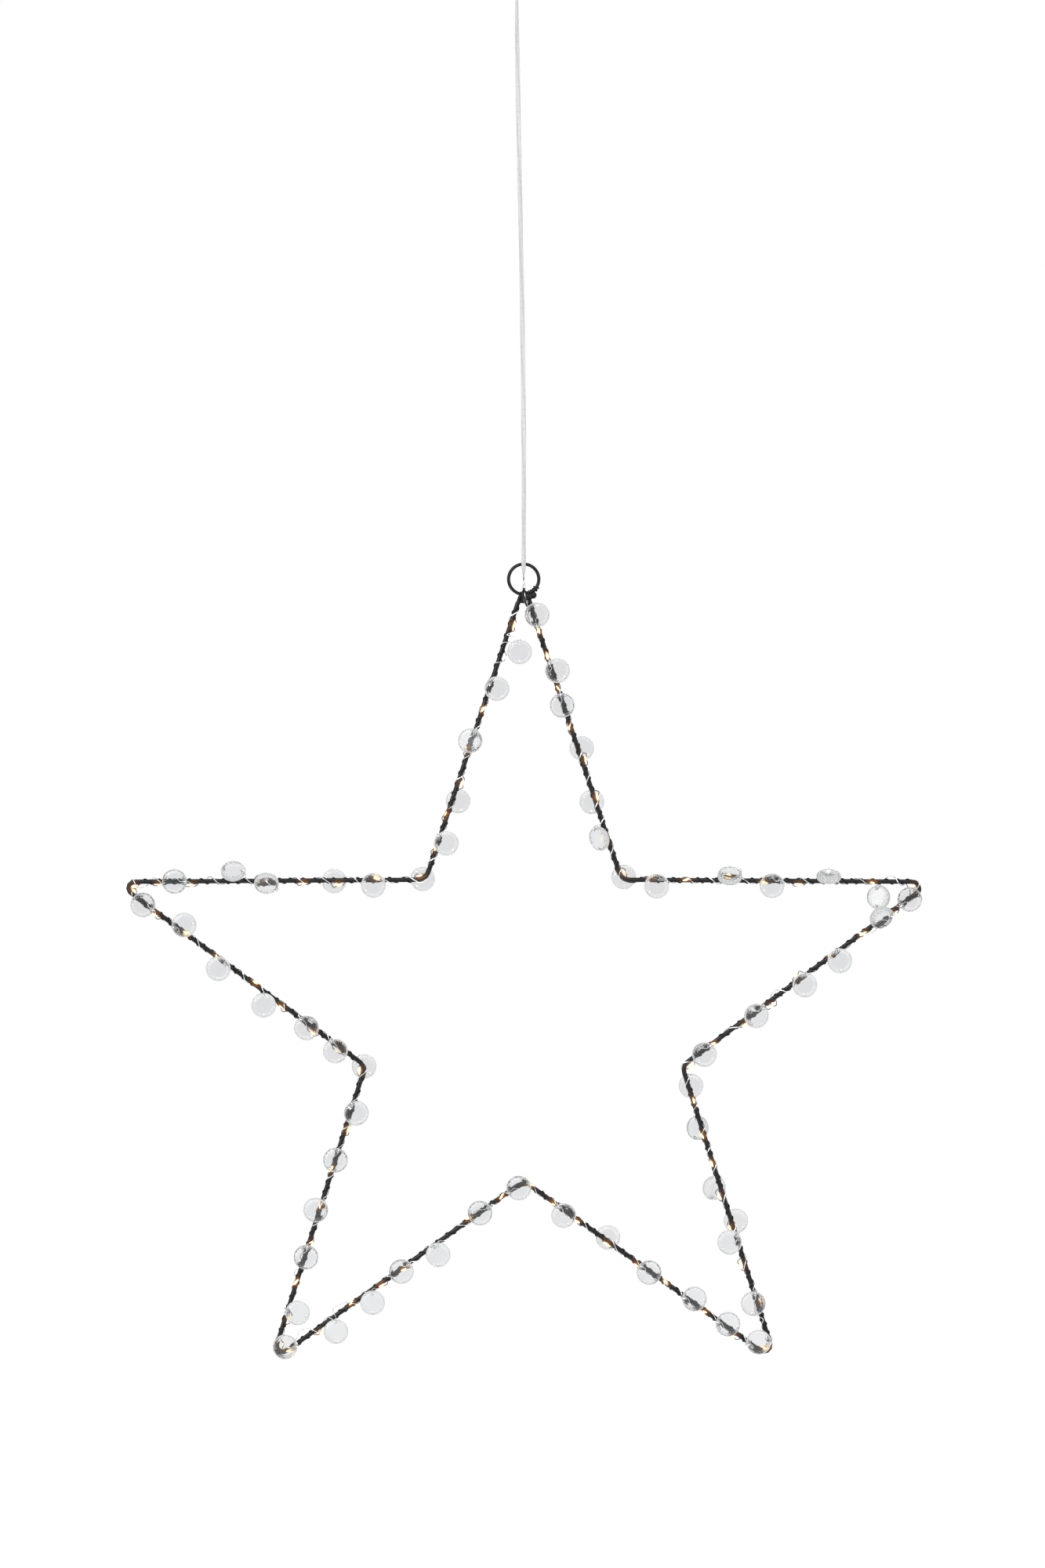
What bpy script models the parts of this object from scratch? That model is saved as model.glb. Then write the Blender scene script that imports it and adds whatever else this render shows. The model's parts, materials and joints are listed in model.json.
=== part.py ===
"""A hanging star of bent rod, wound with a string of lamps and a bead wire with clear glass discs.

Lengths are metres. The star stands in the XZ plane and faces -Y. The origin is the inside top
of the loop at the end of the supply lead, which is the place that the star hangs from.
"""

import math

import bmesh
import bpy
from mathutils import Matrix, Vector

# Star outline
HANG_DROP = 0.6000
STAR_SIDE_SHIFT = 0.0027
STAR_POINTS = 5
TIP_RADIUS = 0.2430
WAIST_RADIUS = 0.0943
ROD_DIAMETER = 0.0030
TIP_BEND_RADIUS = 0.0036
WAIST_BEND_RADIUS = 0.0060
TIP_BEND_STEPS = 8
WAIST_BEND_STEPS = 4

# Faces that meet at less than this angle are shaded as one round surface
ROUND_LIMIT = math.radians(50)

# Clearance between pieces that touch in the real one
FIT_GAP = 0.0003

# Lamp string and bead wire
STRING_DIAMETER = 0.0009
LAMP_DIAMETER = 0.0026
LAMP_LENGTH = 0.0066
LAMP_NECK_TURN_SHARE = 1 / 12
WIRE_DIAMETER = 0.0006
WIRE_TURN_PITCH = 0.0060
TURN_STEPS = 8

# Stretches of one tube nearer to each other than this many points count as one bend
NEIGHBOURS = 3

# Glass discs
DISC_DIAMETER = 0.0140
DISC_THICKNESS = 0.0050
DISC_TABLE_SHARE = 0.90
DISC_SIDES = 12
HOLE_DIAMETER = 0.0015
HOLE_SIDES = 5
HOLE_REACH = 0.0052
EYE_REACH = 0.0027

# Hanging ring and its binding
RING_DIAMETER = 0.0190
RING_WIRE_DIAMETER = 0.0019
RING_STEPS = 24
BINDING_CORNER_RADIUS = 0.0014
BINDING_CORNER_STEPS = 3
BINDING_LOBE_STEPS = 4

# Supply lead
LEAD_DIAMETER = 0.0022
LEAD_STEPS = 48
LEAD_RISE_STEPS = 4
LEAD_SETTLE_SHARE = 1 / 3
SPLICE_DIAMETER = 0.0025
SPLICE_LENGTH = 0.0053
SPLICE_CHAMFER = 0.0004
LEAD_BOW = 0.0008
LOOP_HALF_WIDTH = 0.0050
LOOP_NECK_DROP = 0.0150
LOOP_STEPS = 24
SLEEVE_LENGTH = 0.0045
SLEEVE_WALL = 0.0008
SLEEVE_CORNER_STEPS = 4
TAIL_LENGTH = 0.0015

# The edge that runs level from the right waist to the right tip
LEVEL_EDGE = 1

# Which way each corner disc lies: -1 in front of the rod, 1 behind it
CORNER_SIDES = (-1, 1, -1, 1, -1, -1, -1, 1, -1, 1)

# Places of the lamps along each edge of the star, as shares of its straight run between bends
LAMP_SHARES = (
    (0.1000, 0.1952, 0.3155, 0.4578, 0.5825, 0.7237, 0.8659),
    (0.0783, 0.2008, 0.3496, 0.4744, 0.5991, 0.7282, 0.8563),
    (0.1054, 0.2368, 0.3735, 0.5114, 0.6471, 0.7598, 0.8933),
    (0.1013, 0.2271, 0.3310, 0.4492, 0.5805, 0.7064, 0.8464),
    (0.0420, 0.1405, 0.2499, 0.4129, 0.5322, 0.6602, 0.7948, 0.9173),
    (0.0673, 0.2052, 0.3507, 0.4963, 0.5947, 0.7173, 0.8486, 0.9525),
    (0.0978, 0.2269, 0.3681, 0.5103, 0.6449, 0.7948, 0.9173),
    (0.0859, 0.1954, 0.3376, 0.4580, 0.6199, 0.7600, 0.8880),
    (0.0858, 0.1995, 0.3265, 0.4479, 0.5946, 0.7171, 0.8517),
    (0.0914, 0.2161, 0.3376, 0.4569, 0.6068, 0.7611, 0.9219),
)

# Discs on each edge: place as a share of its straight run, shift to the inside as a share of the disc,
# side (-1 front, 1 behind), roll as a share of a quarter turn, and 1 where the disc hangs free
DISC_SHARES = (
    ((0.2564, -0.2, -1, 0, 0), (0.3779, 0.06, -1, 0, 0), (0.5420, -0.16, 1, 0, 0),
     (0.7335, 0.14, 1, 0, 0), (0.8637, 0.04, -1, 0.42, 0)),
    ((0.0958, 0.24, -1, 0, 0), (0.3529, 0.18, -1, -0.42, 0), (0.5017, 0.19, -1, 0, 0),
     (0.6998, 0.37, -1, -0.48, 0), (0.8836, 0.65, 1, 0, 1)),
    ((0.1525, 0.12, -1, 0, 0), (0.3604, -0.33, -1, 0, 0), (0.5103, -0.28, -1, 0, 0),
     (0.7116, -0.12, -1, 0, 0), (0.9392, -0.13, -1, 0, 0)),
    ((0.2019, 0.15, 1, 0, 0), (0.4219, 0.25, 1, 0, 0), (0.5564, -0.19, 1, 0, 0),
     (0.6123, 0.33, -1, 0, 0), (0.8431, 0.17, -1, 0, 0)),
    ((0.1514, 0.14, -1, 0, 0), (0.2991, 0.18, -1, 0, 0), (0.4829, -0.02, -1, 0, 0),
     (0.6657, 0.09, 1, 0, 0), (0.8440, -0.16, -1, 0, 0)),
    ((0.1614, 0.01, -1, 0, 0), (0.3671, -0.38, -1, 0, 1), (0.5061, -0.06, -1, 0, 0),
     (0.6527, -0.41, -1, 0, 1), (0.8169, -0.5, -1, 0, 1)),
    ((0.1295, 0.42, -1, 0, 0), (0.3254, 0.06, -1, 0, 0), (0.4939, -0.14, -1, 0, 0),
     (0.6821, 0.01, -1, 0, 0), (0.8615, 0.24, -1, 0, 0)),
    ((0.0892, -0.2, -1, 0, 0), (0.2194, -0.14, -1, 0, 0), (0.3879, -0.43, -1, 0, 1),
     (0.5926, -0.33, -1, 0, 0), (0.7808, 0.27, -1, 0, 0)),
    ((0.1437, -0.01, -1, 0, 0), (0.3495, -0.13, -1, -0.42, 0), (0.4676, -0.21, -1, 0.33, 0),
     (0.7018, 0.04, 1, 0, 0), (0.8429, 0.2, -1, 0, 0)),
    ((0.1188, 0.33, -1, 0, 0), (0.2720, 0.23, 1, 0, 0), (0.4875, -0.06, -1, 0, 0),
     (0.6910, 0.3, -1, 0, 0), (0.8387, 0.7, -1, 0, 1)),
)

# Discs at the corners: edge, share of its straight run and shift to the inside as a share of the disc
CORNER_DISC_SHARES = (
    (0, 0.0475, -0.13), (1, -0.0180, -0.1), (2, 0.0343, -0.01), (3, 0.0531, -0.11), (4, 0.0267, 0.27),
    (5, -0.0005, -0.08), (5, 0.9930, 0.2), (7, -0.0246, -0.08), (7, 0.9394, -0.06), (9, -0.0290, -0.14),
)

# Places on each edge where the bead wire turns round the rod, as shares of its straight run, each
# with the whole turns that it makes there beside any half turn to the next disc's side
WIRE_TURN_SHARES = (
    ((0.3921, 1), (0.7806, 0), (0.9447, 0)),
    ((0.0438, 0), (0.2763, 0), (0.7939, 0), (0.9416, 0)),
    ((0.2991, 1), (0.9556, 0)),
    ((0.5433, 0), (0.7632, 1)),
    ((0.3013, 1), (0.5967, 0), (0.7445, 0)),
    ((0.2774, 1),),
    ((0.2991, 1), (0.9699, 0)),
    ((0.0444, 0), (0.5368, 1)),
    ((0.2630, 0), (0.4118, 0), (0.5409, 0), (0.7915, 0), (0.9447, 0)),
    ((0.0444, 0), (0.1680, 0), (0.3978, 0)),
)

ROD_RADIUS = ROD_DIAMETER / 2
STRING_RADIUS = STRING_DIAMETER / 2
WIRE_RADIUS = WIRE_DIAMETER / 2
LEAD_RADIUS = LEAD_DIAMETER / 2
CORNERS = 2 * STAR_POINTS
CENTRE = Vector((STAR_SIDE_SHIFT, 0, -HANG_DROP))
BACK = Vector((0, 1, 0))

# A round of the string has a point a third of a half turn from the last, so its chord comes nearer
STRING_TRACK = (ROD_RADIUS + FIT_GAP + STRING_RADIUS) / math.cos(math.tau * LAMP_NECK_TURN_SHARE)
STRING_REACH = STRING_TRACK + STRING_RADIUS
WIRE_TRACK = (STRING_REACH + FIT_GAP + WIRE_RADIUS) / math.cos(math.pi / TURN_STEPS)
LAMP_TRACK = ROD_RADIUS + FIT_GAP + LAMP_DIAMETER / 2
DISC_MID = WIRE_TRACK + WIRE_RADIUS + FIT_GAP + DISC_THICKNESS / 2
EYE_TOP = DISC_MID + DISC_THICKNESS / 2 + FIT_GAP + WIRE_RADIUS


def material(name, color, roughness, metallic=0.0, alpha=1.0):
    made = bpy.data.materials.new(name)
    made.use_nodes = True
    shader = made.node_tree.nodes["Principled BSDF"]
    shader.inputs["Base Color"].default_value = (*color, 1.0)
    shader.inputs["Roughness"].default_value = roughness
    shader.inputs["Metallic"].default_value = metallic
    shader.inputs["Alpha"].default_value = alpha
    made.diffuse_color = (*color, alpha)
    return made


def place(name, data, made_of):
    thing = bpy.data.objects.new(name, data)
    if made_of.name not in data.materials:
        data.materials.append(made_of)
    bpy.context.scene.collection.objects.link(thing)
    return thing


def tube_curve(name, points, radius, closed=False, swells=None, sides_level=1):
    """A round tube along a list of points; swells hold each point's own share of the radius."""
    curve = bpy.data.curves.new(name, "CURVE")
    curve.dimensions = "3D"
    curve.bevel_depth = radius
    curve.bevel_resolution = sides_level
    curve.use_fill_caps = not closed
    curve.render_resolution_u = 0
    spline = curve.splines.new("POLY")
    spline.points.add(len(points) - 1)
    for index, point in enumerate(points):
        spline.points[index].co = (*point, 1.0)
        spline.points[index].radius = swells[index] if swells else 1.0
    spline.use_cyclic_u = closed
    return curve


def corner_point(index):
    radius = WAIST_RADIUS if index % 2 else TIP_RADIUS
    turn = math.tau * (index % CORNERS) / CORNERS
    return CENTRE + Vector((radius * math.sin(turn), 0, radius * math.cos(turn)))


def edge_frame(edge):
    """Start, unit direction, unit vector to the star's inside, and length of one edge."""
    start = corner_point(edge)
    along = corner_point(edge + 1) - start
    direction = along.normalized()
    inside = Vector((direction.z, 0, -direction.x))
    return start, direction, inside, along.length


def corner_arc(index, steps_share=1):
    """Points of the rod's centre line round one corner, from one edge to the next."""
    before = edge_frame((index - 1) % CORNERS)
    after = edge_frame(index % CORNERS)
    is_tip = index % 2 == 0
    bend = TIP_BEND_RADIUS if is_tip else WAIST_BEND_RADIUS
    steps = int((TIP_BEND_STEPS if is_tip else WAIST_BEND_STEPS) * steps_share)
    turn = before[1].angle(after[1])
    side = 1 if is_tip else -1
    first = corner_point(index) - before[1] * bend * math.tan(turn / 2)
    hub = first + before[2] * bend * side
    spoke = first - hub
    return [hub + Matrix.Rotation(side * turn * step / steps, 3, BACK) @ spoke
            for step in range(steps + 1)]


def corner_trim(index):
    """How much of an edge the bend at one corner takes up."""
    bend = WAIST_BEND_RADIUS if index % 2 else TIP_BEND_RADIUS
    turn = edge_frame((index - 1) % CORNERS)[1].angle(edge_frame(index % CORNERS)[1])
    return bend * math.tan(turn / 2)


def reach_on(edge, share):
    """Distance from an edge's start of a share of its straight run, from bend to bend."""
    first = corner_trim(edge)
    return first + share * (edge_frame(edge)[3] - first - corner_trim(edge + 1))


def round_rod(edge, distance, phase, radius):
    """A point at a distance along an edge and at a radius from the rod, turned from the inside."""
    start, direction, inside, _ = edge_frame(edge)
    out = inside * math.cos(phase) + BACK * math.sin(phase)
    return start + direction * distance + out * radius


def side_phase(side):
    return side * math.pi / 2


def build_frame(made_of):
    """The star's rod, bent round in one closed line."""
    points = [point for index in range(CORNERS) for point in corner_arc(index)]
    place("star_frame", tube_curve("star_frame", points, ROD_RADIUS, True, None, 2), made_of)


def string_route():
    """Points and swells of the lamp string, wound round the rod from the star's top and back."""
    points = []
    swells = []
    start_gap = STRING_DIAMETER + FIT_GAP
    lead_in = [point + BACK * STRING_TRACK for point in corner_arc(0, 0.5)]
    middle = len(lead_in) // 2
    first = lead_in[middle] + Vector((start_gap, 0, 0))
    straight = first + Vector((STRING_DIAMETER, 0, 0))
    points += [first, straight] + lead_in[middle + 1:]
    swells += [1.0] * len(points)
    phase = side_phase(1)
    for edge in range(CORNERS):
        lamps = [reach_on(edge, share) for share in LAMP_SHARES[edge]]
        neck = LAMP_NECK_TURN_SHARE * math.tau
        lamp_swell = LAMP_DIAMETER / STRING_DIAMETER
        for count, distance in enumerate(lamps):
            lamp_phase = phase + math.pi / 2 + math.pi * count
            stations = [(distance - LAMP_LENGTH / 2, lamp_phase - neck, STRING_TRACK, 1.0),
                        (distance, lamp_phase, LAMP_TRACK, lamp_swell),
                        (distance + LAMP_LENGTH / 2, lamp_phase + neck, STRING_TRACK, 1.0)]
            if count + 1 < len(lamps):
                halfway = (distance + lamps[count + 1]) / 2
                stations.append((halfway, lamp_phase + math.pi / 2, STRING_TRACK, 1.0))
            for where, turned, radius, swell in stations:
                points.append(round_rod(edge, where, turned, radius))
                swells.append(swell)
        phase += math.pi * len(lamps)
        side = round(math.sin(phase))
        arc = [point + BACK * STRING_TRACK * side for point in corner_arc(edge + 1, 0.5)]
        if edge + 1 == CORNERS:
            arc = arc[:middle]
            arc.append(lead_in[middle] - Vector((start_gap + STRING_DIAMETER, 0, 0)))
            arc.append(lead_in[middle] - Vector((start_gap, 0, 0)))
        points += arc
        swells += [1.0] * len(arc)
    return points, swells


def disc_pose(edge, share, shift, side, roll, hangs, hole_ahead):
    """Where a disc sits: its threaded hole, the way to its middle, and the way out of the rod."""
    start, direction, inside, _ = edge_frame(edge)
    phase = side_phase(side) - side * roll * math.pi / 2
    outward = inside * math.cos(phase) + BACK * math.sin(phase)
    sideways = inside * abs(math.sin(phase)) - BACK * math.cos(phase) * side
    offset = shift * DISC_DIAMETER
    if hangs:
        to_middle = Vector((0, 0, -1))
    elif abs(offset) >= HOLE_REACH:
        to_middle = sideways * math.copysign(1, offset)
    else:
        lift = offset / HOLE_REACH
        ahead = -1 if hole_ahead else 1
        to_middle = sideways * lift + direction * ahead * math.sqrt(1 - lift * lift)
    middle = start + direction * reach_on(edge, share) + sideways * offset + outward * DISC_MID
    hole = middle - to_middle * HOLE_REACH
    return hole, to_middle, outward, phase


def edge_discs(edge):
    """Every disc on an edge in order: its pose, whether it is fixed, and its number."""
    direction = edge_frame(edge)[1]
    found = []
    for number, (share, shift, side, roll, hangs) in enumerate(DISC_SHARES[edge]):
        hole_ahead = direction.z > 0 or edge == LEVEL_EDGE
        pose = disc_pose(edge, share, shift, side, roll, hangs, hole_ahead)
        found.append((pose, False, edge * len(DISC_SHARES[edge]) + number + 1))
    for index, (corner_edge, share, shift) in enumerate(CORNER_DISC_SHARES):
        if corner_edge == edge:
            ahead = share < 0.5
            pose = disc_pose(edge, share, shift, CORNER_SIDES[index], 0, 0, ahead)
            found.append((pose, True, index + 1))
    start = corner_point(edge)
    return sorted(found, key=lambda item: (item[0][0] - start).dot(direction))


def eye_points(edge, pose):
    """The bead wire's four points at a disc, through its hole and back outside its rim."""
    hole, to_middle, outward, phase = pose
    direction = edge_frame(edge)[1]
    below = hole - outward * (DISC_MID - WIRE_TRACK)
    above = hole + outward * (EYE_TOP - DISC_MID)
    outside = -to_middle * EYE_REACH
    points = [below, above, above + outside, below + outside]
    if outside.dot(direction) < 0:
        points.reverse()
    return points


def wire_route():
    """Points of the bead wire: along the discs' side, through each disc, and round the rod."""
    points = []
    for edge in range(CORNERS):
        start, direction, _, _ = edge_frame(edge)
        side = CORNER_SIDES[edge]
        arc = [point + BACK * WIRE_TRACK * side for point in corner_arc(edge, 0.5)]
        stops = [((pose[0] - start).dot(direction), 0, pose) for pose, _, _ in edge_discs(edge)]
        stops += [(reach_on(edge, share), 1, turns) for share, turns in WIRE_TURN_SHARES[edge]]
        stops.sort(key=lambda stop: stop[0])
        phase = side_phase(side)
        targets = [stop[2][3] for stop in stops if not stop[1]]
        targets.append(side_phase(CORNER_SIDES[(edge + 1) % CORNERS]))
        run = []
        seen = 0
        for where, is_turn, item in stops:
            if is_turn:
                change = (targets[seen] - phase) % math.tau
                if change > math.tau - math.pi / TURN_STEPS:
                    change = 0
                change += math.tau * item
                steps = max(1, round(change / math.tau * TURN_STEPS))
                width = WIRE_TURN_PITCH * steps / TURN_STEPS
                for step in range(steps + 1):
                    share = step / steps
                    spot = where + width * (share - 0.5)
                    run.append(round_rod(edge, spot, phase + change * share, WIRE_TRACK))
                phase += change
            else:
                run += eye_points(edge, item)
                phase = item[3]
                seen += 1
        first_reach = (run[0] - start).dot(direction)
        if first_reach < corner_trim(edge) + WIRE_DIAMETER:
            arc.pop()
        points += arc + run
    return points


def least_gap(points, radius, closed=False):
    """The smallest clear space between two stretches of one tube that aren't neighbours."""
    ahead = points[1:] + points[:1] if closed else points[1:]
    runs = list(zip(points, ahead))
    least = math.inf
    for one in range(len(runs)):
        last = min(len(runs), one + len(runs) - NEIGHBOURS + 1) if closed else len(runs)
        for other in range(one + NEIGHBOURS, last):
            least = min(least, segment_gap(runs[one], runs[other]))
    return least - 2 * radius


def segment_gap(one, other):
    """The distance between two straight stretches, at their ends and by each one's normal."""
    a, b = one
    c, d = other
    if (a - c).length > (b - a).length + (d - c).length + STRING_TRACK:
        return (a - c).length - (b - a).length - (d - c).length
    gaps = [point_gap(a, c, d), point_gap(b, c, d), point_gap(c, a, b), point_gap(d, a, b)]
    u = b - a
    v = d - c
    w = a - c
    uu, uv, vv, uw, vw = u.dot(u), u.dot(v), v.dot(v), u.dot(w), v.dot(w)
    scale = uu * vv - uv * uv
    if scale > 0:
        s = (uv * vw - vv * uw) / scale
        t = (uu * vw - uv * uw) / scale
        if 0 <= s <= 1 and 0 <= t <= 1:
            gaps.append((w + u * s - v * t).length)
    return min(gaps)


def point_gap(point, start, end):
    along = end - start
    share = min(1, max(0, (point - start).dot(along) / along.dot(along)))
    return (point - start - along * share).length


def disc_mesh(name, holes):
    """A clear disc with a flat face each side, a knife-edged rim and holes by its edge."""
    half = DISC_THICKNESS / 2
    rim = DISC_DIAMETER / 2
    table = rim * DISC_TABLE_SHARE
    shape = bmesh.new()
    middle = Vector((HOLE_REACH, 0, 0))
    for side in (-1, 1):
        at = Matrix.Translation(middle + Vector((0, 0, side * half / 2)))
        low = rim if side > 0 else table
        high = table if side > 0 else rim
        bmesh.ops.create_cone(shape, cap_ends=True, segments=DISC_SIDES, radius1=low,
                              radius2=high, depth=half, matrix=at)
    inner = [face for face in shape.faces if abs(face.calc_center_median().z) < half / DISC_SIDES]
    inner = [face for face in inner if len(face.verts) == DISC_SIDES]
    bmesh.ops.delete(shape, geom=inner, context="FACES")
    bmesh.ops.remove_doubles(shape, verts=shape.verts, dist=FIT_GAP / DISC_SIDES)
    bmesh.ops.recalc_face_normals(shape, faces=shape.faces)
    blank = bpy.data.meshes.new(name)
    shape.to_mesh(blank)
    shape.free()
    for reach in holes:
        drill = bmesh.new()
        bmesh.ops.create_cone(drill, cap_ends=True, segments=HOLE_SIDES, radius1=HOLE_DIAMETER / 2,
                              radius2=HOLE_DIAMETER / 2, depth=DISC_THICKNESS * 2,
                              matrix=Matrix.Translation(Vector((reach, 0, 0))))
        bit = bpy.data.meshes.new(name + "_drill")
        drill.to_mesh(bit)
        drill.free()
        blank = combine(blank, bit, "DIFFERENCE")
    return blank


def combine(base, other, how):
    """The mesh that two meshes give when one is cut from or joined to the other."""
    first = bpy.data.objects.new("first", base)
    second = bpy.data.objects.new("second", other)
    for thing in (first, second):
        bpy.context.scene.collection.objects.link(thing)
    step = first.modifiers.new("combine", "BOOLEAN")
    step.operation = how
    step.solver = "EXACT"
    step.object = second
    bpy.context.view_layer.update()
    depsgraph = bpy.context.evaluated_depsgraph_get()
    result = bpy.data.meshes.new_from_object(first.evaluated_get(depsgraph))
    result.name = base.name
    bpy.data.objects.remove(first)
    bpy.data.objects.remove(second)
    bpy.data.meshes.remove(other)
    return result


def disc_matrix(pose):
    """The turn and place that put a disc's threaded hole and middle where its pose says."""
    hole, to_middle, outward, _ = pose
    across = outward.cross(to_middle)
    turn = Matrix((to_middle, across, outward)).transposed().to_4x4()
    return Matrix.Translation(hole) @ turn


def build_discs(made_of):
    """The discs on the edges, each its own object that turns about its threaded hole."""
    shared = disc_mesh("glass_disc", (0, 2 * HOLE_REACH))
    shared.materials.clear()
    for edge in range(CORNERS):
        for pose, fixed, number in edge_discs(edge):
            if not fixed:
                disc = place("glass_disc_%02d" % number, shared, made_of)
                disc.matrix_world = disc_matrix(pose)


def build_wire(made_of):
    """The bead wire, one closed line, with the corner discs that it is drawn tight on."""
    route = wire_route()
    print("bead wire: least gap to itself %.2f mm" % (1000 * least_gap(route, WIRE_RADIUS, True)))
    curve = tube_curve("bead_wire", route, WIRE_RADIUS, True)
    guide = bpy.data.objects.new("wire_guide", curve)
    bpy.context.scene.collection.objects.link(guide)
    bpy.context.view_layer.update()
    depsgraph = bpy.context.evaluated_depsgraph_get()
    wire = bpy.data.meshes.new_from_object(guide.evaluated_get(depsgraph))
    bpy.data.objects.remove(guide)
    for edge in range(CORNERS):
        for pose, fixed, number in edge_discs(edge):
            if fixed:
                disc = disc_mesh("corner_disc", (2 * HOLE_REACH,))
                disc.transform(disc_matrix(pose))
                wire = combine(wire, disc, "UNION")
    wire.name = "bead_wire"
    wire.materials.clear()
    place("bead_wire", wire, made_of)


def build_string(made_of):
    """The black string of lamps, one tube that swells at each lamp."""
    route, swells = string_route()
    print("lamp string: least gap to itself %.2f mm" % (1000 * least_gap(route, STRING_RADIUS)))
    curve = tube_curve("lamp_string", route, STRING_RADIUS, False, swells)
    place("lamp_string", curve, made_of)


def apex_height():
    """The height of the rod's centre line at the star's top."""
    arc = corner_arc(0)
    return arc[len(arc) // 2].z


def ring_centre():
    lift = ROD_RADIUS + FIT_GAP + RING_DIAMETER / 2
    return Vector((STAR_SIDE_SHIFT, 0, apex_height() + lift))


def build_ring(made_of):
    """The round ring that stands on the star's top."""
    middle = ring_centre()
    reach = (RING_DIAMETER - RING_WIRE_DIAMETER) / 2
    points = []
    for step in range(RING_STEPS):
        turn = math.tau * step / RING_STEPS
        points.append(middle + Vector((reach * math.sin(turn), 0, reach * math.cos(turn))))
    curve = tube_curve("hanging_ring", points, RING_WIRE_DIAMETER / 2, True, None, 2)
    place("hanging_ring", curve, made_of)


def binding_top():
    """The height of the binding's centre line where it passes over the ring's wire."""
    ring_low = ring_centre().z - (RING_DIAMETER - RING_WIRE_DIAMETER) / 2
    return ring_low + RING_WIRE_DIAMETER / 2 + FIT_GAP + STRING_RADIUS


def binding_low():
    """The height of the binding's centre line inside the bend of the rod."""
    hub = apex_height() - TIP_BEND_RADIUS
    inner = TIP_BEND_RADIUS - ROD_RADIUS
    return hub + math.sqrt(inner * inner - STRING_DIAMETER * STRING_DIAMETER) - FIT_GAP - STRING_RADIUS


def build_binding(made_of):
    """Two turns of string side by side that bind the ring to the star's top."""
    half_depth = ROD_RADIUS + FIT_GAP + STRING_RADIUS
    top = binding_top()
    low = binding_low()
    bend = BINDING_CORNER_RADIUS
    corners = ((half_depth, top, 0), (-half_depth, top, 1), (-half_depth, low, 2), (half_depth, low, 3))
    points = []
    for depth, height, quarter in corners:
        hub = Vector((0, depth - math.copysign(bend, depth), height - (bend if height == top else -bend)))
        for step in range(BINDING_CORNER_STEPS + 1):
            turn = math.pi / 2 * (quarter + step / BINDING_CORNER_STEPS)
            points.append(hub + Vector((STAR_SIDE_SHIFT, bend * math.cos(turn), bend * math.sin(turn))))
    profile = bpy.data.curves.new("binding_section", "CURVE")
    profile.dimensions = "2D"
    section = []
    for side in (1, -1):
        for step in range(BINDING_LOBE_STEPS + 1):
            turn = math.pi * (0.5 - step / BINDING_LOBE_STEPS)
            across = side * (STRING_RADIUS + STRING_RADIUS * math.cos(turn))
            section.append((across, side * STRING_RADIUS * math.sin(turn), 0))
        section.append((0, -side * STRING_RADIUS / 2, 0))
    spline = profile.splines.new("POLY")
    spline.points.add(len(section) - 1)
    for index, point in enumerate(section):
        spline.points[index].co = (*point, 1.0)
    spline.use_cyclic_u = True
    guide = bpy.data.objects.new("binding_section", profile)
    bpy.context.scene.collection.objects.link(guide)
    curve = tube_curve("apex_binding", points, STRING_RADIUS, True)
    curve.bevel_mode = "OBJECT"
    curve.bevel_object = guide
    holder = bpy.data.objects.new("binding_guide", curve)
    bpy.context.scene.collection.objects.link(holder)
    bpy.context.view_layer.update()
    depsgraph = bpy.context.evaluated_depsgraph_get()
    band = bpy.data.meshes.new_from_object(holder.evaluated_get(depsgraph))
    bpy.data.objects.remove(holder)
    bpy.data.objects.remove(guide)
    band.materials.clear()
    place("apex_binding", band, made_of)


def splice_low():
    return binding_top() + STRING_RADIUS + FIT_GAP


def build_splice(made_of):
    """The bright splice inside the ring, where the lead meets the string."""
    shape = bmesh.new()
    at = Matrix.Translation(Vector((STAR_SIDE_SHIFT, 0, splice_low() + SPLICE_LENGTH / 2)))
    bmesh.ops.create_cone(shape, cap_ends=True, segments=DISC_SIDES, radius1=SPLICE_DIAMETER / 2,
                          radius2=SPLICE_DIAMETER / 2, depth=SPLICE_LENGTH, matrix=at)
    rims = [edge for edge in shape.edges if abs(edge.verts[0].co.z - edge.verts[1].co.z) < FIT_GAP]
    bmesh.ops.bevel(shape, geom=rims, offset=SPLICE_CHAMFER, segments=1, affect="EDGES")
    mesh = bpy.data.meshes.new("lead_splice")
    shape.to_mesh(mesh)
    shape.free()
    mesh.shade_smooth()
    mesh.set_sharp_from_angle(angle=ROUND_LIMIT)
    place("lead_splice", mesh, made_of)


def smooth_step(share):
    share = min(1, max(0, share))
    return share * share * (3 - 2 * share)


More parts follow.
